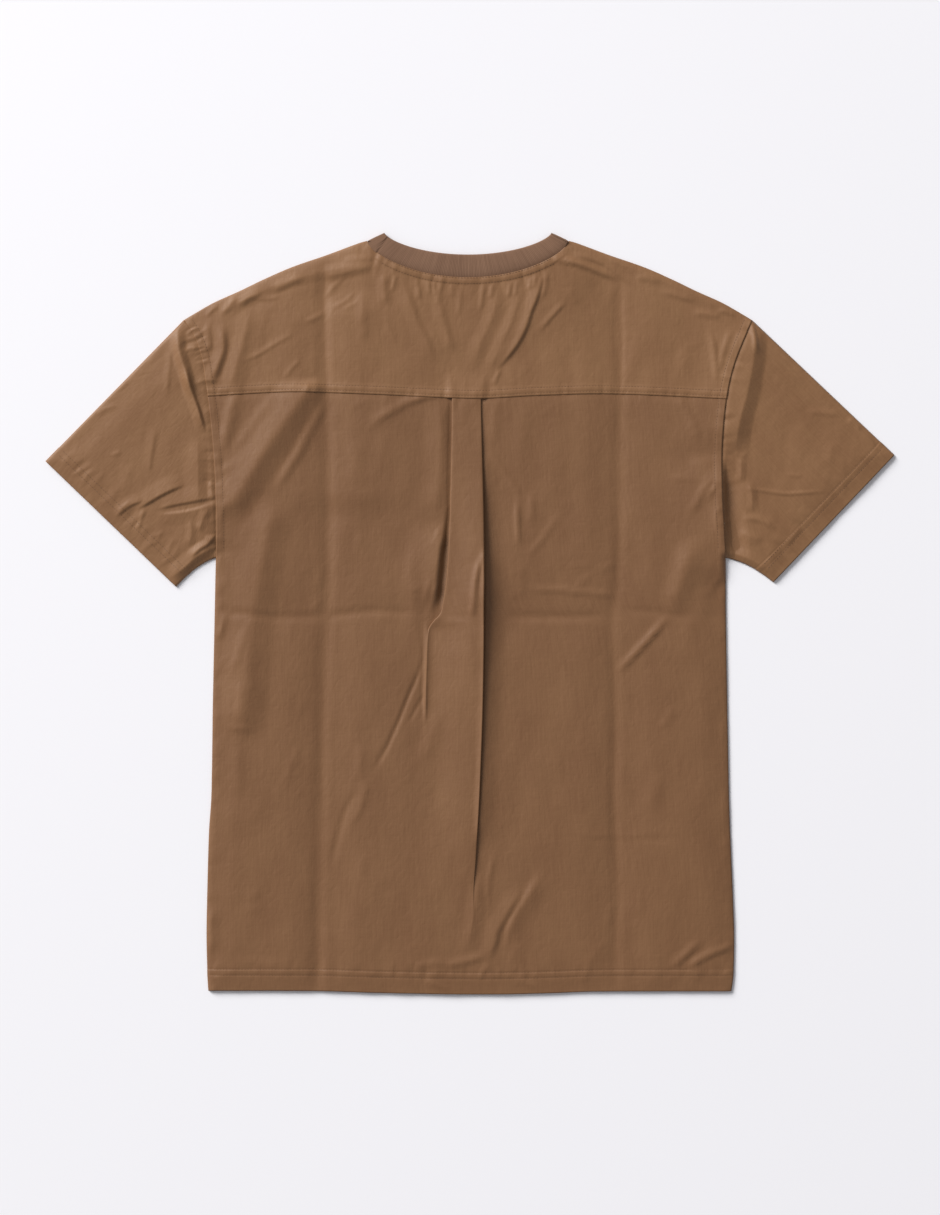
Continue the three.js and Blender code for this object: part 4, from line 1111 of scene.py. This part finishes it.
yoke_neck = neck_curve(
    NECK_HALF + YOKE_GAP, NECK_TOP - YOKE_GAP, BACK_NECK_DROP + YOKE_GAP, BACK_FULLNESS, neck_angles(1.7)
)
yoke_plan = panel_plan(head_edge(yoke_neck, 1.9), yoke_seam_y, YOKE_FOOT_Y, np.linspace(0, 1, 160))
yoke_plan = respace(yoke_plan, margin_rows(*YOKE_ROWS), margin_rows(*NECK_ROWS), 70)
yoke_x, yoke_y = yoke_plan[..., 0], yoke_plan[..., 1]
from_seam = yoke_y - yoke_seam_y(yoke_x)
from_neck = near_path(NECK_LINE, yoke_x, yoke_y)[0]
yoke_level = UPPER + upper_heights(yoke_x, yoke_y) + over_pleat(yoke_x, yoke_y)
yoke_level += margin_beside_armhole(yoke_x, yoke_y)
yoke_level += YOKE_MARGIN * (1 - ease(from_seam, 8.2, 10.5)) + stitch_channel(from_seam, *YOKE_ROWS)
below_shoulder = ease(NECK_TOP - yoke_y, 4, 18)
neck_margin = NECK_MARGIN * (1 - ease(from_neck, 7.0, 8.2)) + stitch_channel(from_neck, *NECK_ROWS)
yoke_level += below_shoulder * neck_margin
yoke_level -= EDGE_DIP * (1 - ease(from_seam, 0, 1.6))
yoke_level = roll_to_edge(rest_on_front(yoke_level), from_paths(SHOULDER_LINES, yoke_x, yoke_y))
yoke = lay_cloth("back_yoke", np.dstack([yoke_plan, yoke_level]), yoke_plan)

# %% [markdown]
# ## Sleeves
# A sleeve is a tube pressed flat. Its grid runs along the sleeve one way and round it the other, over the
# upper layer from the folded top edge to the underarm seam and back along the lower layer. The first and
# last columns lie on each other and are merged. At the armhole the upper layer goes in under the margin
# of the body.

# %% Make the sleeves
UNDER_MARGIN = 1.6
SLEEVE_DIP = 0.5  # how far the sleeve dips where it goes in under the body
CUFF_CHANNEL = 0.5  # share of the usual depth that the cuff's stitches draw the cloth in
UPPER_ROLL, LOWER_ROLL = 5.5, 2.2  # lengths over which the layers curve to the folded edges


def sleeve_points(side):
    """Plan of a sleeve, which columns are on top, and the distances from its cuff and armhole."""
    top, under, _, inward = cuff_frame(side)
    upper = spaced(0, 1, 1 / 160, 1 / 200, near=[0, 1], reach=0.06)
    lower = spaced(1, 0, 1 / 34, 1 / 120, near=[0, 1], reach=0.06)
    across = np.concatenate([upper, lower[1:]])
    is_upper = np.arange(len(across)) < len(upper)
    armhole_y = mix(SHOULDER_Y, UNDERARM_Y, across)
    armhole = np.stack([body_edge(side, armhole_y), armhole_y], axis=-1)
    cuff = mix(top, under, across[:, None])
    length = (armhole - cuff) @ inward
    margin = margin_rows(*CUFF_ROWS)[::-1]
    body = spaced(0, 1, 1 / 125, 1 / 150, near=[0, 1], reach=0.08)
    rows = [share * (1 - margin[0] / length) for share in body]
    rows += [1 - depth / length for depth in margin[1:]]
    shares = np.array(rows)
    plan = mix(armhole[None], cuff[None], shares[..., None])
    plan[..., 1] += UNDERARM_BOW * 4 * shares * (1 - shares) * across**4
    tuck = np.where(is_upper, -UNDER_MARGIN, 0.2) * ease(across, 0, 0.03) * ease(1 - across, 0, 0.03)
    away = 1 - ease(shares * length, 0, 6)
    plan[..., 0] += SIDES[side] * tuck * away
    return plan, is_upper, (1 - shares) * length, shares * length


def make_sleeve(side):
    plan, is_upper, to_cuff, from_armhole = sleeve_points(side)
    x, y = plan[..., 0], plan[..., 1]
    in_hem = to_cuff < CUFF_HEM_DEPTH - 0.5
    from_ends = np.minimum(
        np.linalg.norm(plan - plan[:, :1], axis=-1),
        np.linalg.norm(plan - plan[:, is_upper][:, -1:], axis=-1),
    )
    level = UPPER + upper_heights(x, y) - SLEEVE_DIP * (1 - ease(from_armhole, 1, 5))
    level += CUFF_CHANNEL * stitch_channel(to_cuff, *CUFF_ROWS)
    for gap in ARMHOLE_GAPS:
        level += crease_height(gap, x, y)
    level = np.maximum(level, EDGE_LEVEL + 0.3)
    upper = roll_to_edge(level, from_ends, UPPER_ROLL)
    lower = roll_to_edge(np.where(in_hem, LOWER_HEM, LOWER), from_ends, LOWER_ROLL)
    points = np.dstack([plan, np.where(is_upper, upper, lower)])
    steps = np.linalg.norm(np.diff(plan, axis=1, prepend=plan[:, :1]), axis=-1)
    uv = np.dstack([np.cumsum(steps, axis=1), to_cuff])
    if side == "left":
        points, uv, in_hem = points[::-1], uv[::-1], in_hem[::-1]
    return lay_cloth(f"sleeve_{side}_cloth", points, uv, hem=in_hem, closed=True)


sleeve_left = make_sleeve("left")
sleeve_right = make_sleeve("right")

# %% [markdown]
# ## Neckband
# The neckband is rib knit folded double, a closed ring whose section is a thin rounded oval. It lies flat
# across the back of the neck, folds over at both shoulders and comes back below. The ring is a grid that
# closes both ways, round the section and round the neck, where it merges with itself. Every rib of the
# knit is a small wave in the ring's outer points, and a groove near the left shoulder is the seam where
# the rib's two ends are joined.

# %% Make the neckband
BAND_DEPTH = 24
BAND_THICK = 1.5
BAND_BACK, BAND_FRONT = 4.0, 1.0
RIB_PITCH = 1.5
RIB_HEIGHT = 0.11
POINTS_PER_RIB = 4
JOIN_OPENING, JOIN_SEAM = -73.0, -64.0  # ends of the join, in degrees round the neck's back
SEAM_TUCK, SEAM_SAG = 1.5, 0.85  # how far the seam's edge goes in under the yoke, and how far it sags there
GROOVE_WIDTH, GROOVE_DEPTH = 0.7, 0.9  # of the join, in degrees and as a share of the band's thickness
JOIN_STEP = 0.45  # how far the band stands up beyond its join
OFF_BACK = 99.0  # stands for the angle of stations that aren't at the back


def band_line(drops, fullness, angles, tuck):
    """Points on the opening and on the neck seam. The seam's points are moved on by the tuck."""
    opening = neck_curve(OPENING_HALF, OPENING_TOP, drops[0], fullness, angles)
    seam = neck_curve(NECK_HALF, NECK_TOP, drops[1], fullness, angles)
    reach = tuck * ease(90 - abs(angles), 4, 24)
    return opening, seam + unit(seam - opening) * reach[:, None]


def even_angles(drops, fullness, count, tuck):
    """Angles at which the middle of the band is cut into equal lengths."""
    probe = np.linspace(-90, 90, 721)
    opening, seam = band_line(drops, fullness, probe, tuck)
    reached = length_along((opening + seam) / 2)
    return np.interp(np.linspace(0, reached[-1], count), reached, probe), reached[-1]


back_drops, front_drops = (BACK_OPENING_DROP, BACK_NECK_DROP), (FRONT_OPENING_DROP, FRONT_NECK_DROP)
_, back_length = even_angles(back_drops, BACK_FULLNESS, 3, 0)
_, front_length = even_angles(front_drops, FRONT_FULLNESS, 3, 0)
back_count = int(back_length / RIB_PITCH) * POINTS_PER_RIB
front_count = int(front_length / RIB_PITCH) * POINTS_PER_RIB
fold_count = 2 * POINTS_PER_RIB + 1
fold_bend = (BAND_BACK - BAND_FRONT) / 2


def band_stations():
    """Stations round the ring: points on the opening and seam, turn, and angle at the back."""
    angles, _ = even_angles(back_drops, BACK_FULLNESS, back_count, SEAM_TUCK)
    back_pairs = np.stack(band_line(back_drops, BACK_FULLNESS, angles, SEAM_TUCK), axis=1)
    front_angles, _ = even_angles(front_drops, FRONT_FULLNESS, front_count, 0)
    front_pairs = np.stack(band_line(front_drops, FRONT_FULLNESS, front_angles[::-1], 0), axis=1)
    inset = fold_bend + BAND_THICK / 2
    turns = np.linspace(0, 180, fold_count + 2)[1:-1]
    for pairs in (back_pairs, front_pairs):
        for end in (0, -1):
            way = unit(pairs[end, 1] - pairs[end, 0])
            pairs[end] -= inset * np.array([abs(way[1]) * np.sign(way[0]), abs(way[0])])
    right_fold = np.repeat(back_pairs[-1:], fold_count, axis=0)
    left_fold = np.repeat(back_pairs[:1], fold_count, axis=0)
    pairs = np.concatenate([back_pairs, right_fold, front_pairs, left_fold])
    turned = np.concatenate([np.zeros(back_count), turns, np.full(front_count, 180.0), turns[::-1]])
    elsewhere = np.repeat([OFF_BACK, -OFF_BACK], [fold_count + front_count, fold_count])
    at_back = np.concatenate([angles, elsewhere])
    return pairs, turned, at_back


def band_section(count):
    """The oval section: share across the band from opening to seam, and height from its middle."""
    turn = np.linspace(0, 2 * math.pi, count + 1)
    across = 0.5 - 0.5 * np.sign(np.cos(turn)) * abs(np.cos(turn)) ** 0.55
    height = 0.5 * np.sign(np.sin(turn)) * abs(np.sin(turn)) ** 0.5
    return across, height


pairs, turned, at_back = band_stations()
pairs, turned, at_back = (np.concatenate([values, values[:1]]) for values in (pairs, turned, at_back))
across, height = band_section(20)
stations = len(pairs)
opening, seam = pairs[:, 0], pairs[:, 1]
way = unit(seam - opening)
outward = np.stack([-way[:, 1], way[:, 0]], axis=-1) * np.where(way[:, :1] > 0, 1, -1)
rib = np.cos(2 * math.pi * np.arange(stations) / POINTS_PER_RIB)
join_at = mix(JOIN_OPENING, JOIN_SEAM, across)[None, :]
from_join = at_back[:, None] - join_at
groove = np.exp(-((from_join / GROOVE_WIDTH) ** 2))
ribbed = ease(abs(from_join), 0.5, 3) * mix(0.3, 1, ease(from_join, 0, 2))
thick = BAND_THICK * (1 - GROOVE_DEPTH * groove) + 2 * RIB_HEIGHT * rib[:, None] * ribbed
reach = fold_bend + height[None, :] * thick
angle = np.radians(turned)[:, None]
flat = opening[:, None] + across[None, :, None] * (seam - opening)[:, None]
ring_xy = flat + outward[:, None] * (reach * np.sin(angle))[..., None]
inside_folds = ease(90 - abs(at_back), 0, 25)[:, None]
sag = SEAM_SAG * ease(across, 0.72, 1.0)[None, :] * inside_folds
ring_z = (BAND_BACK + BAND_FRONT) / 2 + reach * np.cos(angle) - sag
ring_z += 0.35 * unevenness(ring_xy[..., 0], ring_xy[..., 1], 34, 60, 7) * inside_folds
ring_z += JOIN_STEP * (1 - ease(from_join, -0.3, 0.8)) * inside_folds
ring_z[-1] = ring_z[0]
round_neck = np.arange(stations) * RIB_PITCH / POINTS_PER_RIB
ring_uv = np.dstack(np.broadcast_arrays(round_neck[:, None], BAND_DEPTH * across[None, :]))
neckband = grid_piece("rib_neckband", np.dstack([ring_xy, ring_z]), ring_uv, brown_rib, closed=True)
print("neckband:", stations, "stations,", round(back_length + front_length), "mm round")

# %% [markdown]
# ## Stitching
# Two rows of stitches hold the yoke's lower edge, and two each hold the hems and the neck seam. One row
# runs beside each armhole. A single stitch is a small lozenge of thread. Copies of it are set along each
# row, dropped onto the cloth below by casting a ray down, and joined into one mesh.

# %% Model one stitch
STITCH_LONG, STITCH_WIDE, STITCH_PITCH = 2.1, 0.55, 3.1
STEEPEST = 1.2  # most that the cloth may rise under one stitch

bpy.ops.mesh.primitive_uv_sphere_add(segments=6, ring_count=4, radius=0.5)
one_stitch = bpy.context.object
one_stitch.rotation_euler = (0, math.radians(90), 0)
bpy.ops.object.transform_apply(rotation=True)
one_stitch.scale = (STITCH_LONG, STITCH_WIDE, STITCH_WIDE * 0.8)
bpy.ops.object.transform_apply(scale=True)
stitch_points = np.array([vertex.co[:] for vertex in one_stitch.data.vertices])
stitch_faces = [tuple(face.vertices) for face in one_stitch.data.polygons]
bpy.ops.object.delete()


# %% Sew the rows
def set_along(path, pitch):
    """Places at equal distances along a path."""
    reached = length_along(path)
    return points_at(np.arange(pitch, reached[-1] - pitch / 2, pitch), reached, path)


def on_cloth(piece, place):
    """Height of the cloth under a place, or None beside it."""
    hit, point, _, _ = piece.ray_cast((place[0] * MM, place[1] * MM, 0.1), (0, 0, -1))
    return point.z / MM if hit else None


def sew(piece, path):
    """Points of each stitch along a path, in millimetres. No stitch is set where the cloth is steep or
    missing.
    """
    sewn = []
    places = set_along(path, STITCH_PITCH)
    for before, after in zip(places[:-1], places[1:]):
        way = unit(after - before)
        ends = [(before + after) / 2 + sign * way * STITCH_LONG * 0.45 for sign in (-1, 1)]
        heights = [on_cloth(piece, end) for end in ends]
        if None in heights or abs(heights[1] - heights[0]) > STEEPEST:
            continue
        start, stop = (np.array([*end, height]) for end, height in zip(ends, heights))
        forward = unit(stop - start)
        sideways = np.array([-way[1], way[0], 0])
        upward = np.cross(forward, sideways)
        turned = stitch_points @ np.array([forward, sideways, upward])
        sewn.append(turned + (start + stop) / 2 + upward * 0.06)
    return sewn


def beside(path, offset):
    """The path moved sideways by offset, to its left."""
    way = unit(np.gradient(path, axis=0))
    return path + offset * np.stack([-way[:, 1], way[:, 0]], axis=-1)


stitches = []
for rise in YOKE_ROWS:
    stitches += sew(yoke, YOKE_LINE + (0, rise))
for drop in NECK_ROWS:
    stitches += sew(yoke, beside(NECK_LINE, -drop)[7:-7])
for depth in HEM_ROWS:
    stitches += sew(back, line_across(-265, 265, 60, hem_y) + (0, depth))
for side, sign in SIDES.items():
    for piece in (yoke, back):
        stitches += sew(piece, beside(ARMHOLES[side], ARMHOLE_ROW * sign)[1:])
for side, piece in (("left", sleeve_left), ("right", sleeve_right)):
    for depth in CUFF_ROWS:
        stitches += sew(piece, cuff_row(side, depth))

count = len(stitch_points)
thread_points = np.concatenate(stitches) * MM
starts = range(0, len(stitches) * count, count)
thread_faces = [tuple(k + start for k in face) for start in starts for face in stitch_faces]
thread_mesh = bpy.data.meshes.new("stitching")
thread_mesh.from_pydata(thread_points.tolist(), [], thread_faces)
thread_mesh.uv_layers.new(name="UVMap")
thread_mesh.materials.append(brown_thread)
stitching = bpy.data.objects.new("stitching", thread_mesh)
bpy.context.collection.objects.link(stitching)
print(len(stitches), "stitches")

# %% [markdown]
# ## Hand over
# Each piece rides on the shirt's one body and stands for its solid, which is hidden.

PIECES = table(
    "piece node slot cut share on",
    (front, "front", "woven_cloth", (0.58, 0.77), 0.78, []),
    (back, "back", "woven_cloth", (0.585, 0.615), 0.96, [front]),
    (yoke, "yoke", "woven_cloth", (0.58, 0.162), 0.72, [front, back]),
    (sleeve_left, "sleeve_left", "woven_cloth", (0.43, 0.2), 0.62, []),
    (sleeve_right, "sleeve_right", "woven_cloth", (0.43, 0.2), 0.62, []),
    (neckband, "neckband", "rib_knit", (0.53, 0.024), 0.9, [front]),
)
for row in PIECES:
    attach(row["piece"], "root")
    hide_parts(row["node"])
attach(stitching, "root")
